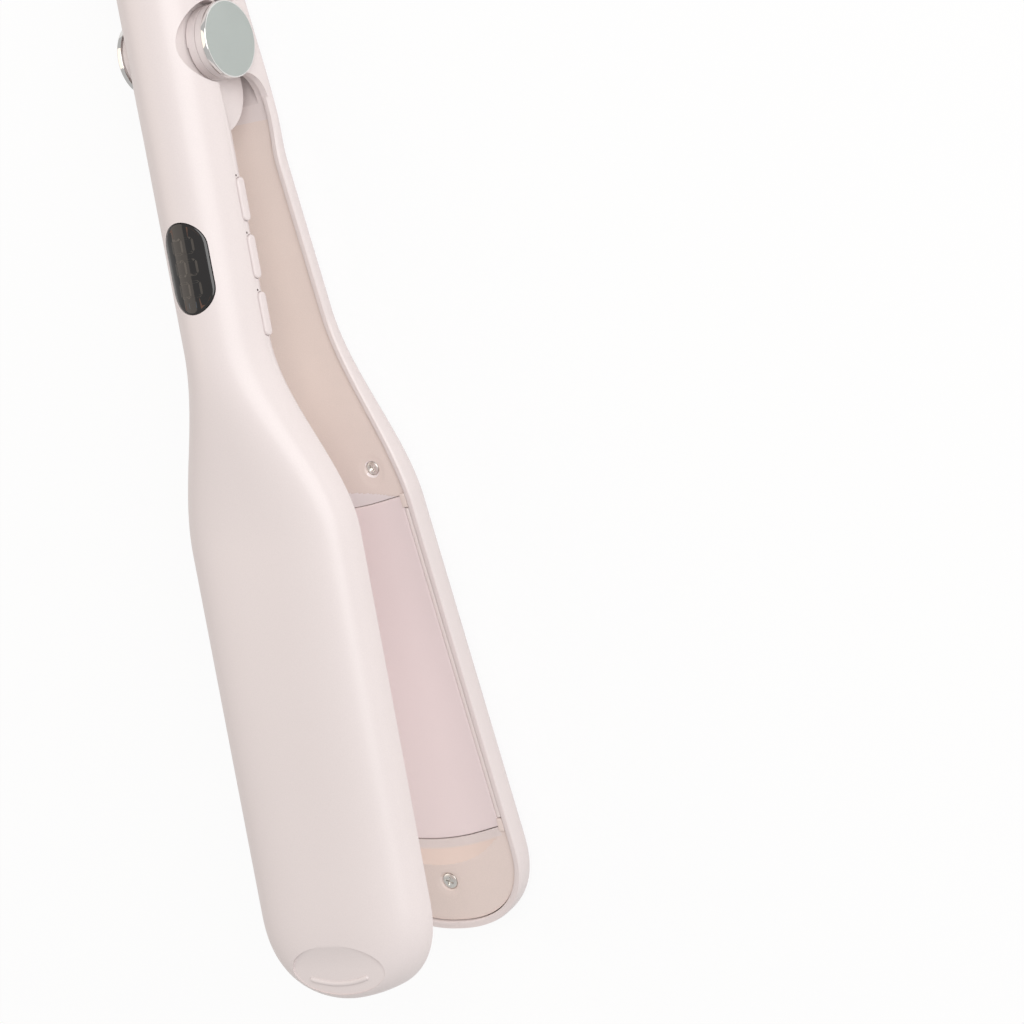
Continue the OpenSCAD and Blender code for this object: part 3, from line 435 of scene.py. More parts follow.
def stadium(length, width, segments=24):
    """An outline with two straight sides and two half rounds of so many segments."""
    r, c = width / 2, (length - width) / 2
    right = [(c + r * cos(a), r * sin(a))
             for a in (pi * (k / segments - 0.5) for k in range(segments + 1))]
    return right + [(-x, -y) for x, y in right]


def stadium_bar(length, width, depths, centre, matrix, along="Y"):
    """What cuts an opening for a stadium of this size, along Y or up Z."""
    outline = [(centre[0] + p, centre[1] + q) for p, q in stadium(length + SLOT_GAP, width + SLOT_GAP)]
    rings = [[(p, d, q) if along == "Y" else (p, q, d) for p, q in outline] for d in depths]
    return loft("bar", rings, matrix)


# Oval scoop on the outer face of each tip, with a raised bar
SCOOP_X, SCOOP_HALF_X, SCOOP_HALF_Y, SCOOP_H = 241.4, 7.0, 14.9, PADDLE_TOP - 2.15
SCOOP_TILT, SCOOP_HINGE_RISE, SCOOP_TIP_FALL, SCOOP_SIDE_FALL, SCOOP_DISH = 1.19, 0.85, 0.45, 0.75, 0.3
SCOOP_RINGS, SCOOP_POINTS, SCOOP_CUT = 18, 96, 6
BAR_X, BAR_MID, BAR_HALF, BAR_BOW, BAR_R, BAR_PROUD = ARM_LEN - 4.8, -0.7, 9.7, 1.6, 0.75, 0.6


def scoop_floor(x, y):
    """Height of the scoop's floor: an oval dish, steepest at the hinge side."""
    p, q = (x - SCOOP_X) / SCOOP_HALF_X, y / SCOOP_HALF_Y
    fall = -SCOOP_TILT * p + (SCOOP_HINGE_RISE if p < 0 else -SCOOP_TIP_FALL) * p * p
    return SCOOP_H + fall - SCOOP_SIDE_FALL * q * q - SCOOP_DISH * max(0.0, 1 - p * p - q * q)


def scoop(arm):
    """What is taken from a tip's outer face: everything over the dish, inside its oval."""
    n = SCOOP_POINTS
    rings = []
    for f in evenly(0, 1, SCOOP_RINGS):
        oval = [(SCOOP_X + SCOOP_HALF_X * f * cos(a), SCOOP_HALF_Y * f * sin(a)) for a in full_turn(n)]
        rings.append([(x, y, scoop_floor(x, y)) for x, y in oval])
    rings.append([(x, y, u + SCOOP_CUT) for x, y, u in rings[-1]])
    points = [rings[0][0]] + [p for ring in rings[1:] for p in ring]
    faces = [(0, 1 + j, 1 + (j + 1) % n) for j in range(n)] + ring_faces(len(rings) - 1, n, 1)
    faces.append([1 + (len(rings) - 2) * n + j for j in range(n)])
    return new_object("scoop", points, faces, place(arm))


SEAT_RISE = 13.8  # height of the crescent's crown over the hinge axis
SEAT_STEP = 0.07  # from the knuckle's flank to the crescent
OUTSIDE = 20  # beyond the tube's sides


def ear_seats(side):
    """Room for an ear beside the knuckle, and a crescent scooped from the tube above it."""
    hub = hinge_place(UPPER)
    y0 = side * KNUCKLE_W / 2
    r = (EAR_RECESS_R ** 2 + SEAT_RISE ** 2) / (2 * SEAT_RISE)
    room = sorted((y0, side * OUTSIDE))
    crescent = sorted((y0 + side * SEAT_STEP, side * (OUTSIDE + 1)))
    return [(CUT, cross_bar(0, 0, EAR_RECESS_R, *room, hub)),
            (CUT, cross_bar(0, SEAT_RISE - r, r, *crescent, hub))]


def knuckle_wall(side):
    """Upper half of the wall that closes the tail tube beside an ear."""
    r, front = GRIP_R - 0.1, EAR_RECESS_R + WALL  # it stays just inside the tube's face
    lo, hi = sorted((side * (KNUCKLE_W / 2 - WALL), side * KNUCKLE_W / 2))
    rings = [[(x, lo, TAIL_RISE), (x, lo, TAIL_RISE + sqrt(r * r - lo * lo)),
              (x, hi, TAIL_RISE + sqrt(r * r - hi * hi)), (x, hi, TAIL_RISE)] for x in (-front, front)]
    return loft("wall", rings, hinge_place(UPPER))


def outlet_hole(reach):
    """The opening of the cord outlet, cut from outside the tail's end to so far inside it."""
    return lathe("bar", [(-TAIL_LEN - 3, OUTLET_R), (-TAIL_LEN + reach, OUTLET_R)], tube_axis())


def upper_skin():
    up = place(UPPER)
    skin = arm_trough("upper_skin", UPPER)
    tools = [(CUT, scoop(UPPER))]
    tools += [(JOIN, knuckle_wall(s)) for s in SIDES]
    tools += ear_seats(1) + ear_seats(-1)
    tools.append((CUT, outlet_hole(3)))
    tools.append((CUT, stadium_bar(DISPLAY_LEN, DISPLAY_W, (SEAM_H + 4, 25), (DISPLAY_X, 0), up, "Z")))
    for i in (-1, 0, 1):
        centre = (BUTTON_X + i * BUTTON_PITCH, BUTTON_U)
        tools.append((CUT, stadium_bar(BUTTON_LEN, BUTTON_H, (9, 15), centre, up)))
    return carve(skin, tools)


def tail_skin():
    """The lower half of the tail tube, closed by a ball-shaped nose between the ears."""
    hub = hinge_place(UPPER)
    skin = lathe("tail_skin", tail_end() + [(x, GRIP_R) for x in (-30, -20, -12, TUBE_END)], tube_axis())
    # The nose goes on, and off go the upper half and what stands in the way of the ears
    tools = [(JOIN, ball_slice(NOSE_R, KNUCKLE_W / 2 - SLIP)),
             (CUT, block(-80, 80, -40, 40, TAIL_RISE - SLIP, 60, hub))]
    for s in SIDES:
        tools += ear_seats(s)
        lo, hi = sorted((s * (KNUCKLE_W / 2 - SLIP / 2), s * (OUTSIDE + 1)))
        tools.append((CUT, block(0.5, 49, lo, hi, -31, TAIL_RISE + 1, hub)))
    tools.append((CUT, outlet_hole(9)))
    return carve(skin, tools)


def ball_slice(r, half):
    """A ball with flat flanks at y = -half and half."""
    turn = hinge_place(UPPER) @ Matrix.Translation((NOSE_X, 0, NOSE_Z)) @ Matrix.Rotation(pi / 2, 4, "Z")
    n = 48
    ys = [half * (2 * k / n - 1) for k in range(n + 1)]
    return lathe("ball", [(y, sqrt(r * r - y ** 2)) for y in ys], turn)


def lower_skin():
    skin = arm_trough("lower_skin", LOWER)
    tools = [(CUT, scoop(LOWER))]
    for s in SIDES:
        lo, hi = sorted((s * (EAR_SPLIT + EAR_SPLIT_GAP), s * EAR_OUT))
        tools.append((JOIN, ear(0, LOWER_RIM_DROP + EAR_FOOT, lo, hi)))
    return carve(skin, tools)


# Covers
def plate_r(arm):
    centre = (PLATE_HALF_W ** 2 + PLATE_SAG ** 2) / (2 * PLATE_SAG)
    return centre if arm == LOWER else centre - PLATE_GAP


CURVE_R = plate_r(LOWER)
CURVE_H = PADDLE_RIM + PLATE_DROP + PLATE_SAG - CURVE_R
TIP_LAND = 2.6  # level strip between the tip end of a plate and its ramp
RAMP_SLOPE, RAMP_REACH = (PLATE_DROP + PLATE_SAG - COVER_RECESS) / RAMP_LEN, 12
PANEL_T, PANEL_COLUMNS, PANEL_SHARP = 1.0, 96, 28
PANEL_EDGE_W, PANEL_EDGE_SHARE = 0.32, 0.4
PANEL_EDGE = ((0.0, 0.35), (0.06, 0.16), (0.16, 0.06))  # in from the side, and down from the face

# Bow of the plates' ends: its height, and how far it reaches over the cover, holds and reaches over the plate
BOW_NECK, BOW_TIP, BOW_TIP_BACK, BOW_HALF_W, BOW_EXP = 2.4, 3.4, 0.9, 21.5, 1.2
NECK_COVER_REACH, NECK_HOLD, TIP_COVER_REACH, TIP_HOLD, PLATE_REACH = 16, 4, 14, 3, 20


def bow(x, y):
    """How far the plate's ends, and the covers beside them, bow towards the tips."""
    arch = max(0.0, 1 - (y / BOW_HALF_W) ** 2) ** BOW_EXP
    if x <= PLATE_START + PLATE_REACH:
        share = (ease(x, PLATE_START - NECK_COVER_REACH, PLATE_START)
                 * (1 - ease(x, PLATE_START + NECK_HOLD, PLATE_START + PLATE_REACH)))
        return BOW_NECK * arch * share
    share = (ease(x, PLATE_END - PLATE_REACH, PLATE_END)
             * (1 - ease(x, PLATE_END + TIP_HOLD, PLATE_END + TIP_COVER_REACH)))
    return (BOW_TIP * arch - BOW_TIP_BACK) * share


def plate_face(arm, y):
    """Height of a plate's face at y."""
    if arm == LOWER:
        return CURVE_H + sqrt(plate_r(LOWER) ** 2 - y * y)
    return -CURVE_H - sqrt(plate_r(UPPER) ** 2 - y * y)


def cover_face(arm, x, y):
    """Height of a cover's face: flat, with a ramp that meets the plate in its own curve."""
    flat = rim_h(arm, x) + COVER_RECESS
    away = max(PLATE_START - COVER_GAP - x, x - PLATE_END - COVER_GAP - TIP_LAND, 0)
    if away > RAMP_REACH or abs(y) > PLATE_HALF_W - COVER_GAP:
        return flat
    if arm == LOWER:
        return max(flat, plate_face(arm, y) - RAMP_SLOPE * away)
    return min(flat, plate_face(arm, y) + RAMP_SLOPE * away)


def dish(x, y):
    """A shallow moulded ring round each screw."""
    return sum(RING_RISE * clamp01((RING_R - hypot(x - sx, y - sy)) / RING_FALL) for sx, sy in SCREWS)


def cover_panel(name, arm, xs, width):
    """A cover from its plan: rows across the arm, with a softened edge."""
    rows = []
    for x in xs:
        w = width(x)
        inner = w - min(PANEL_EDGE_W, w * PANEL_EDGE_SHARE)
        side = [(w - min(d, w * PANEL_EDGE_SHARE), drop) for d, drop in PANEL_EDGE]
        flat = [inner * (1 - 2 * k / PANEL_COLUMNS) for k in range(PANEL_COLUMNS + 1)]
        across = side + [(y, dish(x, y)) for y in flat] + [(-y, drop) for y, drop in side[::-1]]
        row = [(x + bow(x, y), y, cover_face(arm, x, y) + drop) for y, drop in across]
        back = max(p[2] for p in row) + PANEL_T
        rows.append(row + [(px, py, back) for px, py, _ in row[::-1]])
    return loft(name, rows, place(arm), PANEL_SHARP, "strips")


# The cover, lip and shell entries are finishes; the two ramp entries are painted light: a painted highlight on the
# ramps at the neck end and painted shade on the ramps at the tip end
FINISHES_AND_PAINTED_LIGHT = ("cover", "ramp", "tip_ramp_painted_shade", "lip", "shell")
EAR_FINISH_X = 24  # the lower inner cover has the shell's finish up to here
# How far from a plate's end the ramps' painted light reaches, and where the painted shade at the tip end starts
RAMP_PAINTED_LIGHT_REACH, TIP_RAMP_FROM = 14, 2  # from a plate's end


def finish_and_painted_light_at(arm, x, y, along, normal):
    """The finish of a cover's face, or the painted light on it: a painted highlight on the neck-end ramps and
    painted shade on the tip-end ramps; along is x before the bow.
    """
    sloped = abs(normal.z) > 0.5 and abs(normal.x) > 0.3
    if arm == LOWER and x < EAR_FINISH_X:
        return "shell"
    # A sloped face near the neck end gets a painted highlight, one near the tip end gets painted shade
    if sloped and PLATE_START - RAMP_PAINTED_LIGHT_REACH < along < PLATE_START:
        return "ramp"
    if sloped and PLATE_END + TIP_RAMP_FROM < along < PLATE_END + RAMP_PAINTED_LIGHT_REACH:
        return "tip_ramp_painted_shade"
    if PLATE_END < along < PLATE_END + COVER_GAP + TIP_LAND and abs(y) < PLATE_HALF_W - COVER_GAP:
        return "lip"
    return "cover"


def tone(panel, arm):
    """The level strip and the ears of a cover take their own finish; the ramps take painted light, a painted
    highlight at the neck end and painted shade at the tip end.
    """
    for key in FINISHES_AND_PAINTED_LIGHT:
        panel.data.materials.append(MATERIALS[key])
    to_arm = place(arm).inverted() @ panel.matrix_world
    for p in panel.data.polygons:
        c, normal = to_arm @ p.center, (to_arm.to_3x3() @ p.normal).normalized()
        finish_and_painted_light = finish_and_painted_light_at(arm, c.x, c.y, c.x - bow(c.x, c.y), normal)
        p.material_index = FINISHES_AND_PAINTED_LIGHT.index(finish_and_painted_light)
    return panel


FINE_X, FINE_STEP = 108, 0.35  # from here to the plate the inner cover has finer rows
TIP_FINE_X = 236  # from here the rows of a tip cover crowd towards its end


def inner_cover_skin(arm):
    x0 = SHELF_END + COVER_GAP if arm == UPPER else fillet_x(EAR_FILLET) - EAR_LAP
    end = PLATE_START - COVER_GAP
    xs = ranged(x0, FINE_X, 1.5)[:-1] + ranged(FINE_X, end - 0.3, FINE_STEP) + [end]
    panel = cover_panel(arm + "_cover_skin", arm, xs, lambda x: half_w(arm, x) - WALL - COVER_GAP)
    tools = [(CUT, screw_seat(arm, x, y)) for x, y in SCREWS[:2]]
    if arm == LOWER:
        # The ears' inner halves, and between them a bridge that is hollowed for the nose
        hub, foot = hinge_place(LOWER), LOWER_RIM_DROP + COVER_RECESS + COVER_T
        tools += [(JOIN, ear(COVER_RECESS, foot, *sorted((s * EAR_IN, s * EAR_SPLIT)))) for s in SIDES]
        tools.append((JOIN, block(2, 20, -EAR_IN - 0.1, EAR_IN + 0.1, -13.9, -LOWER_RIM_DROP - 1.1, hub)))
        tools.append((CUT, cross_bar(NOSE_X, NOSE_Z, NOSE_R + NOSE_GAP, -EAR_IN - 0.3, EAR_IN + 0.3, hub)))
    return tone(carve(panel, tools, PANEL_SHARP), arm)


def head_r(x):
    """The screws at the neck have smaller heads."""
    return NECK_SCREW_R if x < PLATE_START else SCREW_R


def screw_axis(arm, x, y, height=0):
    """Outward from an arm's face, for what is turned."""
    return place(arm) @ Matrix.Translation((x, y, height)) @ Matrix.Rotation(-pi / 2, 4, "Y")


def screw_seat(arm, x, y):
    face, r = cover_face(arm, x, y) + RING_RISE, head_r(x) + SEAT_GAP
    flared = r + SEAT_FLARE
    return lathe("bar", [(-2, flared), (face - 0.01, flared), (face + 0.4, r), (face + 0.9, r)],
                 screw_axis(arm, x, y), 48)


def tip_half_w(x):
    """Half width of a tip cover at x."""
    layer = WALL + COVER_GAP
    t = clamp01((x - ARM_LEN + TIP_LEN) / (TIP_LEN - layer))
    return (PADDLE_W / 2 - layer) * (1 - t ** TIP_PLAN_EXP) ** (1 / TIP_PLAN_EXP)


def tip_cover_skin(arm):
    last = ARM_LEN - WALL - COVER_GAP - 0.02
    xs = ranged(PLATE_END + COVER_GAP, TIP_FINE_X, FINE_STEP)
    xs += [TIP_FINE_X + (last - TIP_FINE_X) * sin(a) for a in arc(0, 90, 40)[1:]]
    panel = cover_panel(arm + "_tip_skin", arm, xs, tip_half_w)
    return tone(carve(panel, [(CUT, screw_seat(arm, *SCREWS[2]))], PANEL_SHARP), arm)


def soft_box(name, x0, x1, y0, y1, u0, u1, r, matrix):
    """A bar along X with rounded edges all round."""
    corners = ((y1 - r, u1 - r, 0), (y0 + r, u1 - r, 90), (y0 + r, u0 + r, 180), (y1 - r, u0 + r, 270))
    blunt = 0.98  # of the radius is taken off at the ends, so that a small face is left

    def ring(x, inset):
        return [(x, y + (r - inset) * cos(a), u + (r - inset) * sin(a))
                for y, u, start in corners for a in arc(start, start + 90, 6)]

    ends = [(r * (1 - cos(a)), r * blunt * (1 - sin(a))) for a in arc(0, 90, 6)]
    rings = [ring(x0 + d, inset) for d, inset in ends] + [ring(x1 - d, inset) for d, inset in ends[::-1]]
    return loft(name, rings, matrix)


CORNER_LEN, CORNER_W, CORNER_R, LIP_R = 4.0, 1.75, 0.3, 0.45
LIP_X0, LIP_X1 = PLATE_START - 0.8, PLATE_END + 0.4


def lip_skin(arm):
    """The strips beside a plate."""
    parts = []
    for s in SIDES:
        y0, y1 = sorted((s * (STRIP_Y - LIP_W), s * STRIP_Y))
        parts.append(soft_box("lip", LIP_X0 + CORNER_LEN, LIP_X1 - CORNER_LEN, y0, y1,
                              STRIP_U, STRIP_U + LIP_H, LIP_R, place(arm)))
    return combine(arm + "_lip_skin", parts)


def corner_skin(arm):
    """Small blocks at the ends of the strips."""
    seam = 0.2
    parts = []
    for s in SIDES:
        y0, y1 = sorted((s * (STRIP_Y - CORNER_W), s * STRIP_Y))
        for x0, x1 in ((LIP_X0, LIP_X0 + CORNER_LEN - seam), (LIP_X1 - CORNER_LEN + seam, LIP_X1)):
            parts.append(soft_box("corner", x0, x1, y0, y1, STRIP_U - 0.05, STRIP_U + LIP_H, CORNER_R,
                                  place(arm)))
    return combine(arm + "_corner_skin", parts)


def plate_skin(arm):
    """A plate as a curved sheet with rolled edges."""
    columns, flat_w = 64, PLATE_HALF_W - PLATE_EDGE
    roll = [(PLATE_EDGE * (1 - cos(a)), PLATE_EDGE * (1 - sin(a))) for a in arc(0, 90, 3)]
    side = [(PLATE_HALF_W - fall, along) for along, fall in roll[:0:-1]]
    flat = [(flat_w * (1 - 2 * k / columns), 0) for k in range(columns + 1)]
    across = side + flat + [(-y, drop) for y, drop in side[::-1]]

    def row(x, fall):
        front = [(x + bow(x, y), y, plate_face(arm, y) + max(drop, fall)) for y, drop in across]
        back = [(x + bow(x, y), y, plate_face(arm, y) + PLATE_T) for y, _ in across]
        return front + back[::-1]

    rows = [row(PLATE_START + along, fall) for along, fall in roll]
    rows += [row(x, 0) for x in ranged(PLATE_START + 2, PLATE_END - 2, 2)]
    rows += [row(PLATE_END - along, fall) for along, fall in roll[::-1]]
    return loft(arm + "_plate_skin", rows, place(arm), 40, "strips")


def screw_skin(arm):
    """Round heads with a cross recess, on their shanks."""
    parts = []
    for i, (x, y) in enumerate(SCREWS):
        r = head_r(x)
        face = cover_face(arm, x, y) + SCREW_SINK + (NECK_SCREW_SINK if x < PLATE_START else 0)
        dome = [(SCREW_DOME * (1 - cos(a)), r * sin(a)) for a in map(radians, range(6, 91, 7))]
        profile = [(0.0, TINY)] + dome + [(0.9, r), (1.0, SHANK_R), (7.0, SHANK_R)]
        head = lathe("head", profile, screw_axis(arm, x, y, face), 64)
        flat = (place(arm) @ Matrix.Translation((x, y, face))
                @ Matrix.Rotation(radians(28 + 17 * i), 4, "Z"))
        long, half = CROSS_LONG * r, CROSS_HALF * r
        parts.append(carve(head, [(CUT, block(-long, long, -half, half, -1, CROSS_DEPTH, flat)),
                                  (CUT, block(-half, half, -long, long, -1, CROSS_DEPTH - 0.01, flat))]))
    return combine(arm + "_screw_skin", parts)


def cap_skin(name, side):
    """A polished cap over the hinge: a slightly domed face in a bright rim."""
    turn = hinge_place(LOWER) @ Matrix.Rotation(side * pi / 2, 4, "Z")
    rim = [(0, TINY), (0, CAP_BACK_R), (0.15, 9.75), (0.4, CAP_R), (CAP_RIM_H, CAP_R)]
    rim += [(CAP_RIM_H + CAP_BEAD * sin(a), CAP_R - CAP_BEAD * (1 - cos(a)))
            for a in map(radians, (20, 40, 60, 80, 90))]
    rim += [(1.77, 9.64), (CAP_FACE_H, 9.6)]
    face = [(CAP_FACE_H + CAP_DOME * (1 - (r / CAP_FACE_R) ** 2), r)
            for r in (CAP_FACE_R, 8.5, 7.5, 6, 4.5, 3, 1.5, TINY)]
    cap = lathe(name, [(EAR_OUT + d, r) for d, r in rim + face], turn, 192, 25)
    cap.data.materials.append(MATERIALS["chrome"])
    cap.data.materials.append(MATERIALS["cap"])
    for p in cap.data.polygons:
        c = turn.inverted() @ p.center
        if c.x > EAR_OUT + CAP_FACE_H - 0.04 and hypot(c.y, c.z) < CAP_FACE_R + 0.02:
            p.material_index = 1
    return cap


def lens_height(y, proud=0.0):
    return SEAM_H + sqrt((GRIP_R + proud) ** 2 - y * y)


# In from the window's outline, and down from its face
LENS_EDGE = ((0.0, 1.6), (0.0, 0.9), (0.0, 0.35), (0.04, 0.2), (0.12, 0.09), (0.25, 0.03), (0.45, 0.0))


def lens_skin():
    """The display window: a polished patch of the grip's own curve with a rolled edge."""
    last = LENS_EDGE[-1][0]
    face = [(last + (DISPLAY_W / 2 - last - 0.1) * k / 12, 0.0) for k in range(1, 13)]
    rings = [[(DISPLAY_X + x, y, lens_height(y) - drop)
              for x, y in stadium(DISPLAY_LEN - 2 * inset, DISPLAY_W - 2 * inset, 32)]
             for inset, drop in (*LENS_EDGE, *face)]
    return loft("lens_skin", rings, place(UPPER), 50)


# Marks on the window
DIGIT_PITCH, DIGIT_WIDE, DIGIT_TALL, SEGMENT_W, SEGMENT_GAP, DIGITS_MID = 5.6, 3.7, 6.6, 0.62, 0.16, -0.2
MARK_IN, MARK_Y, MARK_TO = 0.75, 2.3, radians(62)  # the copper areas, from the window's edge and middle
ICON_X, ICON_Y, ICON_LEN, ICON_W = 8.6, -1.2, 1.6, 2.4
DIGITS_LIFT, ICON_LIFT, MARK_LIFT = 0.012, 0.008, 0.006


def patch(name, outlines, lift):
    """Flat marks that follow the window's curve; an outline is a list of (x, y)."""
    parts = []
    for outline in outlines:
        points = [(DISPLAY_X + x, y, lens_height(y, lift)) for x, y in outline]
        parts.append(new_object("mark", points, [list(range(len(points)))], place(UPPER)))
    return combine(name, parts)


def bar_outline(x0, y0, x1, y1, w):
    """A segment from one point to another, with pointed ends."""
    length = hypot(x1 - x0, y1 - y0)
    dx, dy = (x1 - x0) / length, (y1 - y0) / length
    out = [(t, w / 2 * clamp01(min(t, 1 - t) * length / (w / 2) + 0.05)) for t in evenly(0, 1, 8)]
    upper = [(x0 + dx * t * length - dy * h, y0 + dy * t * length + dx * h) for t, h in out]
    lower = [(x0 + dx * t * length + dy * h, y0 + dy * t * length - dx * h) for t, h in reversed(out)]
    return upper + lower


def digits_skin():
    """Three resting eights. They read across the handle, one after another along it."""
    marks = []
    w, h, g = DIGIT_WIDE / 2, DIGIT_TALL / 2, SEGMENT_GAP
    for i in (-1, 0, 1):
        cx = DIGITS_MID + i * DIGIT_PITCH
        for y in (-h, 0, h):
            marks.append(bar_outline(cx - w + g, y, cx + w - g, y, SEGMENT_W))
        for x in (cx - w, cx + w):
            marks.append(bar_outline(x, -h + g, x, -g, SEGMENT_W))
            marks.append(bar_outline(x, g, x, h - g, SEGMENT_W))
    return patch("display_digits", marks, DIGITS_LIFT)


def corner_marks():
    """Copper areas of the display's carrier, beyond the corners of its panel."""
    r, c = DISPLAY_W / 2 - MARK_IN, (DISPLAY_LEN - DISPLAY_W) / 2
    start = asin(MARK_Y / r)
    outline = [(c + r * cos(a), r * sin(a)) for a in (mix(start, MARK_TO, k / 10) for k in range(11))]
    outline.append((c + r * cos(MARK_TO), MARK_Y))
    marks = [[(sx * x, sy * y) for x, y in outline] for sx in (-1, 1) for sy in (-1, 1)]
    return patch("display_corners", marks, MARK_LIFT)


def icon_mark():
    x1, y1 = ICON_X + ICON_LEN, ICON_Y + ICON_W
    return patch("display_icon", [[(ICON_X, ICON_Y), (x1, ICON_Y), (x1, y1), (ICON_X, y1)]], ICON_LIFT)


# In from a button's outline, and back from its face
KEY_EDGE = ((0, 2.3), (0, 0.5), (0.05, 0.28), (0.15, 0.12), (0.3, 0.03), (0.5, 0.0), (0.9, 0.0), (1.3, 0.0))
KEY_CROWN = 0.2


def button_skin(name, i):
    """A pill-shaped key with a crowned face."""
    cx, y_face = BUTTON_X + i * BUTTON_PITCH, GRIP_R + BUTTON_PROUD
    rings = []
    for inset, back in KEY_EDGE:
        ring = []
        for x, q in stadium(BUTTON_LEN - 2 * inset, BUTTON_H - 2 * inset, 20):
            crown = KEY_CROWN * (q / (BUTTON_H / 2)) ** 2
            ring.append((cx + x, y_face - back - crown * (back < 1), BUTTON_U + q))
        rings.append(ring)
    return loft(name, rings, place(UPPER), 60)


def led_marks():
    """A tiny dark light at the hinge side of each button."""
    parts = []
    for i in (-1, 0, 1):
        x = BUTTON_X + i * BUTTON_PITCH - BUTTON_LEN / 2 - 0.55
        turn = (place(UPPER) @ Matrix.Translation((x, GRIP_R - 0.05, BUTTON_U + 0.9))
                @ Matrix.Rotation(pi / 2, 4, "Z"))
        parts.append(lathe("led", [(-0.4, 0.28), (0.0, 0.28), (0.05, 0.2), (0.06, TINY)], turn, 24))
    return combine("button_leds", parts)


def swivel_skin():
    """The cord outlet: a tapered sleeve with grooves, and a flange inside the tail."""
    collar = -(TAIL_LEN + 0.3)
    profile = [(SWIVEL_INNER_END, CORD_R), (-SWIVEL_END + 0.5, CORD_R), (-SWIVEL_END, CORD_R + 0.4),
               (-SWIVEL_END, 4.7), (-SWIVEL_END + 0.3, SWIVEL_TIP_R), (collar - 4.9, 6.75),
               (collar - 4.4, SWIVEL_COLLAR_R)]
    for k in range(4):
        x = collar - 3.9 + k * GROOVE_PITCH
        profile += [(x, SWIVEL_COLLAR_R), (x + 0.12, GROOVE_R), (x + 0.36, GROOVE_R), (x + 0.48, SWIVEL_COLLAR_R)]
    profile += [(collar, SWIVEL_COLLAR_R), (collar, SWIVEL_NECK_R), (FLANGE_BACK, SWIVEL_NECK_R),
                (FLANGE_BACK, SWIVEL_FLANGE_R), (FLANGE_FRONT, SWIVEL_FLANGE_R), (FLANGE_FRONT, SWIVEL_NECK_R),
                (SWIVEL_INNER_END, SWIVEL_NECK_R), (SWIVEL_INNER_END, CORD_R)]
    return lathe("swivel_skin", profile, tube_axis())


def bar_fade(along):
    """The share of the bar's radius at a place from -1 to 1 along it; it falls off at the ends."""
    if abs(along) <= 0.9:
        return 1.0
    return max(0.05, sin(acos(clamp01(abs(along) - 0.9) / 0.1)))


def tip_bar(arm):
    """The raised bar in the scoop of a tip."""
    n, path = 40, []
    for k in range(n + 1):
        along = 2 * k / n - 1
        x, y = BAR_X - BAR_BOW * along ** 2, BAR_MID + BAR_HALF * along
        path.append(Vector((x, y, scoop_floor(x, y) + BAR_PROUD - BAR_R)))
    rings = []
    for k, p in enumerate(path):
        t = (path[min(k + 1, n)] - path[max(k - 1, 0)]).normalized()
        side = t.cross(Vector((0, 0, 1))).normalized()
        up, r = side.cross(t), BAR_R * bar_fade(2 * k / n - 1)
        rings.append([tuple(p + side * (r * cos(a)) + up * (r * sin(a))) for a in full_turn(20)])
    return loft(arm + "_tip_bar", rings, place(arm))


# Materials
MATERIALS = {}


def material(name, color, roughness, metallic=0.0, coat=0.0, coat_rough=0.1, vary=0.04, vary_scale=60.0,
             grain=0.0, grain_scale=2500.0, bump=0.0, bump_scale=1500.0, rough_vary=0.06, brushed=None):
    """A colour that varies a little by noise, with a grain, a varied roughness and a fine bump."""
    mat = bpy.data.materials.new(name)
    mat.use_nodes = True
    tree = mat.node_tree
    shader = tree.nodes["Principled BSDF"]
    node, link = tree.nodes.new, tree.links.new
    shader.inputs["Metallic"].default_value = metallic
    shader.inputs["Coat Weight"].default_value = coat
    shader.inputs["Coat Roughness"].default_value = coat_rough
    place_in = node("ShaderNodeTexCoord").outputs["Object"]
    if brushed:
        stretch = node("ShaderNodeMapping")
        stretch.inputs["Scale"].default_value = brushed
        link(place_in, stretch.inputs["Vector"])
        place_in = stretch.outputs["Vector"]

    def noise(scale, detail):
        texture = node("ShaderNodeTexNoise")
        texture.inputs["Scale"].default_value = scale
        texture.inputs["Detail"].default_value = detail
        link(place_in, texture.inputs["Vector"])
        return texture.outputs["Fac"]

    def tints(factor, *pair):
        """Two tints of a colour, spread by a noise."""
        ramp = node("ShaderNodeValToRGB")
        for element, position, tint in zip(ramp.color_ramp.elements, (0.3, 0.7), pair):
            element.position, element.color = position, (*tint, 1)
        link(factor, ramp.inputs["Fac"])
        return ramp.outputs["Color"]

    low = tuple(c * (1 - vary) for c in color)
    high = tuple(min(1, c * (1 + vary)) for c in color)
    base = tints(noise(vary_scale, 3), low, high)
    if grain:
        blender = node("ShaderNodeMix")
        blender.data_type, blender.blend_type = "RGBA", "MULTIPLY"
        blender.inputs["Factor"].default_value = 1.0
        link(base, blender.inputs["A"])
        link(tints(noise(grain_scale, 2), (1 - grain,) * 3, (1, 1, 1)), blender.inputs["B"])
        base = blender.outputs["Result"]
    link(base, shader.inputs["Base Color"])
    rough = node("ShaderNodeMapRange")
    rough.inputs["To Min"].default_value = max(0.02, roughness - rough_vary)
    rough.inputs["To Max"].default_value = roughness + rough_vary
    link(noise(vary_scale * 3, 4), rough.inputs["Value"])
    link(rough.outputs["Result"], shader.inputs["Roughness"])
    if bump:
        bumps = node("ShaderNodeBump")
        bumps.inputs["Strength"].default_value = bump
        bumps.inputs["Distance"].default_value = 0.0001
        link(noise(bump_scale, 3), bumps.inputs["Height"])
        link(bumps.outputs["Normal"], shader.inputs["Normal"])
    MATERIALS[name] = mat


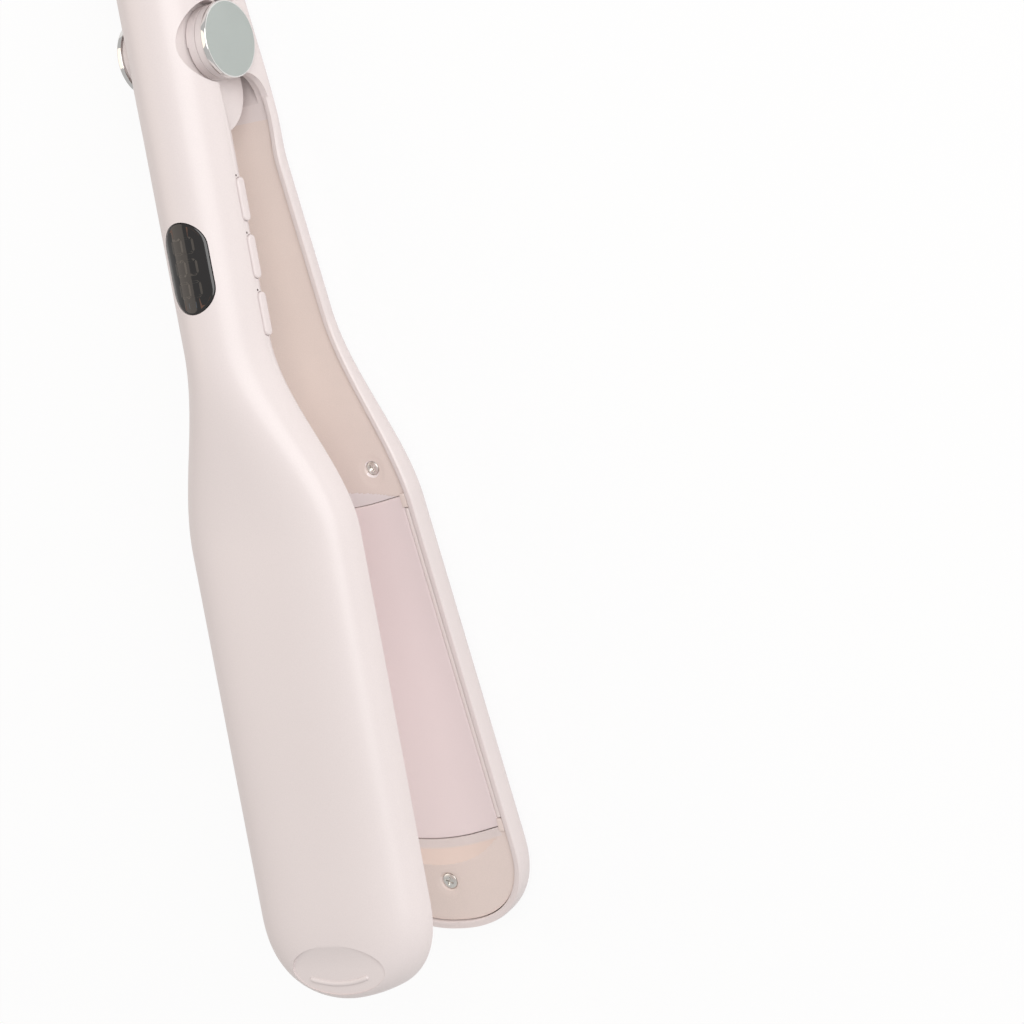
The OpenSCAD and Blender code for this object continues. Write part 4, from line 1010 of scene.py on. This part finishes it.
material("shell", (0.79, 0.715, 0.705), 0.42, coat=0.25, coat_rough=0.22, vary=0.012, vary_scale=14,
         grain=0.035, grain_scale=3200, bump=0.05, bump_scale=2600, rough_vary=0.03)
material("button", (0.77, 0.69, 0.68), 0.4, coat=0.3, coat_rough=0.2, vary=0.012, vary_scale=40, grain=0.03,
         grain_scale=3200, bump=0.04, rough_vary=0.03)
material("cover", (0.80, 0.695, 0.65), 0.45, vary=0.02, vary_scale=25, grain=0.05, grain_scale=4200, bump=0.12,
         bump_scale=3800, rough_vary=0.04)
material("lip", (0.80, 0.72, 0.70), 0.35, coat=0.3, coat_rough=0.15, vary=0.01, vary_scale=30, grain=0.02,
         bump=0.03)
material("plate", (0.90, 0.79, 0.795), 0.22, coat=0.5, coat_rough=0.12, vary=0.015, vary_scale=18, grain=0.03,
         grain_scale=5200, bump=0.03, bump_scale=5200, rough_vary=0.03)
material("cap", (0.50, 0.545, 0.525), 0.2, metallic=0.85, coat=0.2, vary=0.02, vary_scale=90, bump=0.02,
         bump_scale=6000, rough_vary=0.02)
material("chrome", (0.80, 0.80, 0.79), 0.06, metallic=1.0, vary=0.02, vary_scale=120, rough_vary=0.02)
material("lens", (0.010, 0.009, 0.009), 0.07, coat=0.3, coat_rough=0.03, vary=0.15, vary_scale=80,
         rough_vary=0.02)
material("segment", (0.06, 0.052, 0.045), 0.12, coat=0.3, coat_rough=0.03, vary=0.1, vary_scale=400,
         rough_vary=0.02)
material("copper", (0.10, 0.05, 0.033), 0.14, coat=0.3, coat_rough=0.03, vary=0.2, vary_scale=300,
         rough_vary=0.02)
material("icon", (0.02, 0.055, 0.11), 0.12, coat=1.0, coat_rough=0.03, vary=0.2, vary_scale=500,
         rough_vary=0.02)
material("led", (0.09, 0.06, 0.055), 0.3, vary=0.2, vary_scale=900)
material("screw", (0.84, 0.83, 0.80), 0.3, metallic=1.0, vary=0.12, vary_scale=900, bump=0.1, bump_scale=4000,
         rough_vary=0.08)
material("steel", (0.62, 0.62, 0.61), 0.28, metallic=1.0, vary=0.05, vary_scale=300, bump=0.08,
         brushed=(1, 12, 1))
material("brass", (0.66, 0.50, 0.24), 0.32, metallic=1.0, vary=0.06, vary_scale=300, bump=0.05)
material("dark_plastic", (0.05, 0.05, 0.053), 0.5, vary=0.1, vary_scale=200, bump=0.15)
material("aluminium", (0.66, 0.66, 0.65), 0.35, metallic=1.0, vary=0.04, vary_scale=200, bump=0.08,
         brushed=(1, 20, 1))
material("silicone", (0.45, 0.12, 0.09), 0.55, vary=0.05, vary_scale=200, bump=0.1)
material("epoxy", (0.62, 0.27, 0.06), 0.3, coat=0.4, vary=0.08, vary_scale=500)
material("sleeve", (0.80, 0.80, 0.77), 0.45, vary=0.04, vary_scale=300, bump=0.08)
material("board", (0.03, 0.16, 0.07), 0.4, coat=0.4, vary=0.15, vary_scale=500, bump=0.1)
material("module", (0.06, 0.075, 0.09), 0.35, vary=0.1, vary_scale=300)
material("swivel", (0.72, 0.62, 0.59), 0.45, vary=0.015, vary_scale=40, grain=0.04, grain_scale=3000, bump=0.08,
         bump_scale=3000)
# Painted highlight: the cover's colour lightened to a pale lilac for the neck-end ramps, which face the light
material("ramp", (0.90, 0.83, 0.835), 0.35, coat=0.3, vary=0.015, vary_scale=30, bump=0.04)
# Painted shade: the cover's colour darkened to tan for the tip-end ramps, which face away from the light
material("tip_ramp_painted_shade", (0.80, 0.665, 0.60), 0.38, coat=0.3, vary=0.02, vary_scale=30, bump=0.04)


def dress(obj, key, body, slot, *replaced):
    """Material and body of a new piece; without a key it keeps the materials that it has. Its record slot is not
    used.
    """
    if key:
        obj.data.materials.clear()
        obj.data.materials.append(MATERIALS[key])
    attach(obj, body)
    if replaced:
        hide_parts(*replaced)


dress(upper_skin(), "shell", "upper_arm", "shell", "upper_shell")
dress(tail_skin(), "shell", "upper_arm", "shell", "tail_shell")
dress(lower_skin(), "shell", "lower_arm", "shell", "lower_shell")
for arm in (UPPER, LOWER):
    body = arm + "_arm"
    dress(tip_bar(arm), "shell", body, "shell")
    dress(inner_cover_skin(arm), None, body, "cover", arm + "_inner_cover")
    dress(tip_cover_skin(arm), None, body, "cover", arm + "_tip_cover")
    dress(lip_skin(arm), "lip", body, "cover")
    dress(corner_skin(arm), "cover", body, "cover")
    dress(plate_skin(arm), "plate", body, "plate", arm + "_plate")
    dress(screw_skin(arm), "screw", body, "steel", arm + "_cover_screws")
dress(cap_skin("cap_right_skin", 1), None, "lower_arm", "cap", "hinge_cap_right")
dress(cap_skin("cap_left_skin", -1), None, "lower_arm", "cap", "hinge_cap_left")
dress(lens_skin(), "lens", "upper_arm", "lens", "display_lens")
dress(digits_skin(), "segment", "upper_arm", "lens")
dress(corner_marks(), "copper", "upper_arm", "lens")
dress(icon_mark(), "icon", "upper_arm", "lens")
dress(led_marks(), "led", "upper_arm", "lens")
for i, key in ((-1, "power_button"), (0, "plus_button"), (1, "minus_button")):
    dress(button_skin(key.replace("button", "skin"), i), "button", key, "button", key)
dress(swivel_skin(), "swivel", "cord_swivel", "swivel", "cord_swivel")

# The CAD meshes that stay: what each is made of, by the end of its name

CARRIED = {"plate_carrier": "dark_plastic", "heater": "aluminium", "plate_cushions": "silicone", "sensor": "epoxy",
           "leads": "sleeve", "hinge_pin": "steel", "hinge_bushes": "brass", "hinge_spring": "steel",
           "display_module": "module", "control_board": "board", "button_board": "board",
           "swivel_retainer": "steel"}
for name, node in nodes.items():
    if node.hide_render:
        continue
    key = next((k for k in CARRIED if name.endswith(k)), None)
    node.data.materials.clear()
    node.data.materials.append(MATERIALS[CARRIED[key] if key else "shell"])


# Stage: a plain pale floor, soft lamps and the camera at the photograph's angle
FLOOR_HALF, FLOOR_COLOR, FLOOR_ROUGH = 3.0, (0.93, 0.92, 0.915, 1), 0.7
FLOOR_WHITE, FLOOR_GLOSS = 0.9, 0.35  # share of plain white that the camera and reflections see
WORLD_COLOR, WORLD_LIGHT = (1, 0.985, 0.975, 1), 0.55
WHITE = (1, 1, 1, 1)
LAMPS = (
    ("key", (-0.45, 0.95, 0.90), 1.2, 11.5, (1.0, 0.995, 0.99)),
    ("fill", (-0.40, -0.90, 0.80), 1.0, 2.2, (1.0, 0.84, 0.70)),
)
# Camera found by fitting the outline of the arms to the photograph
CAMERA_AT = (-0.16462, 0.56673, 0.72386)
CAMERA_TURN = (-23.3067, 30.5753, 71.5606)
LENS, SENSOR = 123.05, 36.0


def seen_rays(tree):
    """The kinds of ray, and 1 for a ray that reaches the eye straight or through something clear."""
    path = tree.nodes.new("ShaderNodeLightPath")
    either = tree.nodes.new("ShaderNodeMath")
    either.operation = "MAXIMUM"
    tree.links.new(path.outputs["Is Camera Ray"], either.inputs[0])
    tree.links.new(path.outputs["Is Transmission Ray"], either.inputs[1])
    return path, either.outputs[0]


def blend_shaders(tree, share, first, second, output):
    """Shows the second shader by a share, and the first one otherwise."""
    blend = tree.nodes.new("ShaderNodeMixShader")
    tree.links.new(share, blend.inputs["Fac"])
    tree.links.new(first.outputs[0], blend.inputs[1])
    tree.links.new(second.outputs[0], blend.inputs[2])
    tree.links.new(blend.outputs[0], tree.nodes[output].inputs["Surface"])


def floor_material():
    mat = bpy.data.materials.new("floor")
    mat.use_nodes = True
    tree = mat.node_tree
    node, link = tree.nodes.new, tree.links.new
    shader = tree.nodes["Principled BSDF"]
    shader.inputs["Base Color"].default_value = FLOOR_COLOR
    shader.inputs["Roughness"].default_value = FLOOR_ROUGH
    white = node("ShaderNodeEmission")
    white.inputs["Color"].default_value = WHITE
    path, direct = seen_rays(tree)
    seen = node("ShaderNodeMath")
    seen.operation = "MULTIPLY"
    seen.inputs[1].default_value = FLOOR_WHITE
    link(direct, seen.inputs[0])
    share = node("ShaderNodeMath")
    share.operation = "MULTIPLY_ADD"
    share.inputs[1].default_value = FLOOR_GLOSS
    link(path.outputs["Is Glossy Ray"], share.inputs[0])
    link(seen.outputs[0], share.inputs[2])
    blend_shaders(tree, share.outputs[0], shader, white, "Material Output")
    return mat


def floor():
    bm = bmesh.new()
    bmesh.ops.create_grid(bm, x_segments=8, y_segments=8, size=FLOOR_HALF)
    obj = mesh_object("floor", bm)
    obj.data.materials.append(floor_material())


def world():
    studio = bpy.data.worlds.new("studio")
    bpy.context.scene.world = studio
    studio.use_nodes = True
    tree = studio.node_tree
    back = tree.nodes["Background"]
    back.inputs["Color"].default_value = WORLD_COLOR
    back.inputs["Strength"].default_value = WORLD_LIGHT
    white = tree.nodes.new("ShaderNodeBackground")
    white.inputs["Color"].default_value = WHITE
    blend_shaders(tree, seen_rays(tree)[1], back, white, "World Output")


def lamp(name, at, size, power, color):
    """A round area lamp that faces the origin."""
    data = bpy.data.lights.new(name, "AREA")
    data.shape, data.size, data.energy, data.color = "DISK", size, power, color
    obj = bpy.data.objects.new(name, data)
    obj.location = at
    obj.rotation_euler = (-Vector(at)).to_track_quat("-Z", "Y").to_euler()
    bpy.context.scene.collection.objects.link(obj)


def camera():
    data = bpy.data.cameras.new("camera")
    data.lens, data.sensor_width, data.clip_start = LENS, SENSOR, 0.05
    obj = bpy.data.objects.new("camera", data)
    obj.location = CAMERA_AT
    obj.rotation_euler = [radians(a) for a in CAMERA_TURN]
    bpy.context.scene.collection.objects.link(obj)
    bpy.context.scene.camera = obj


floor()
world()
for settings in LAMPS:
    lamp(*settings)
camera()
bpy.context.scene.view_settings.view_transform = "Standard"
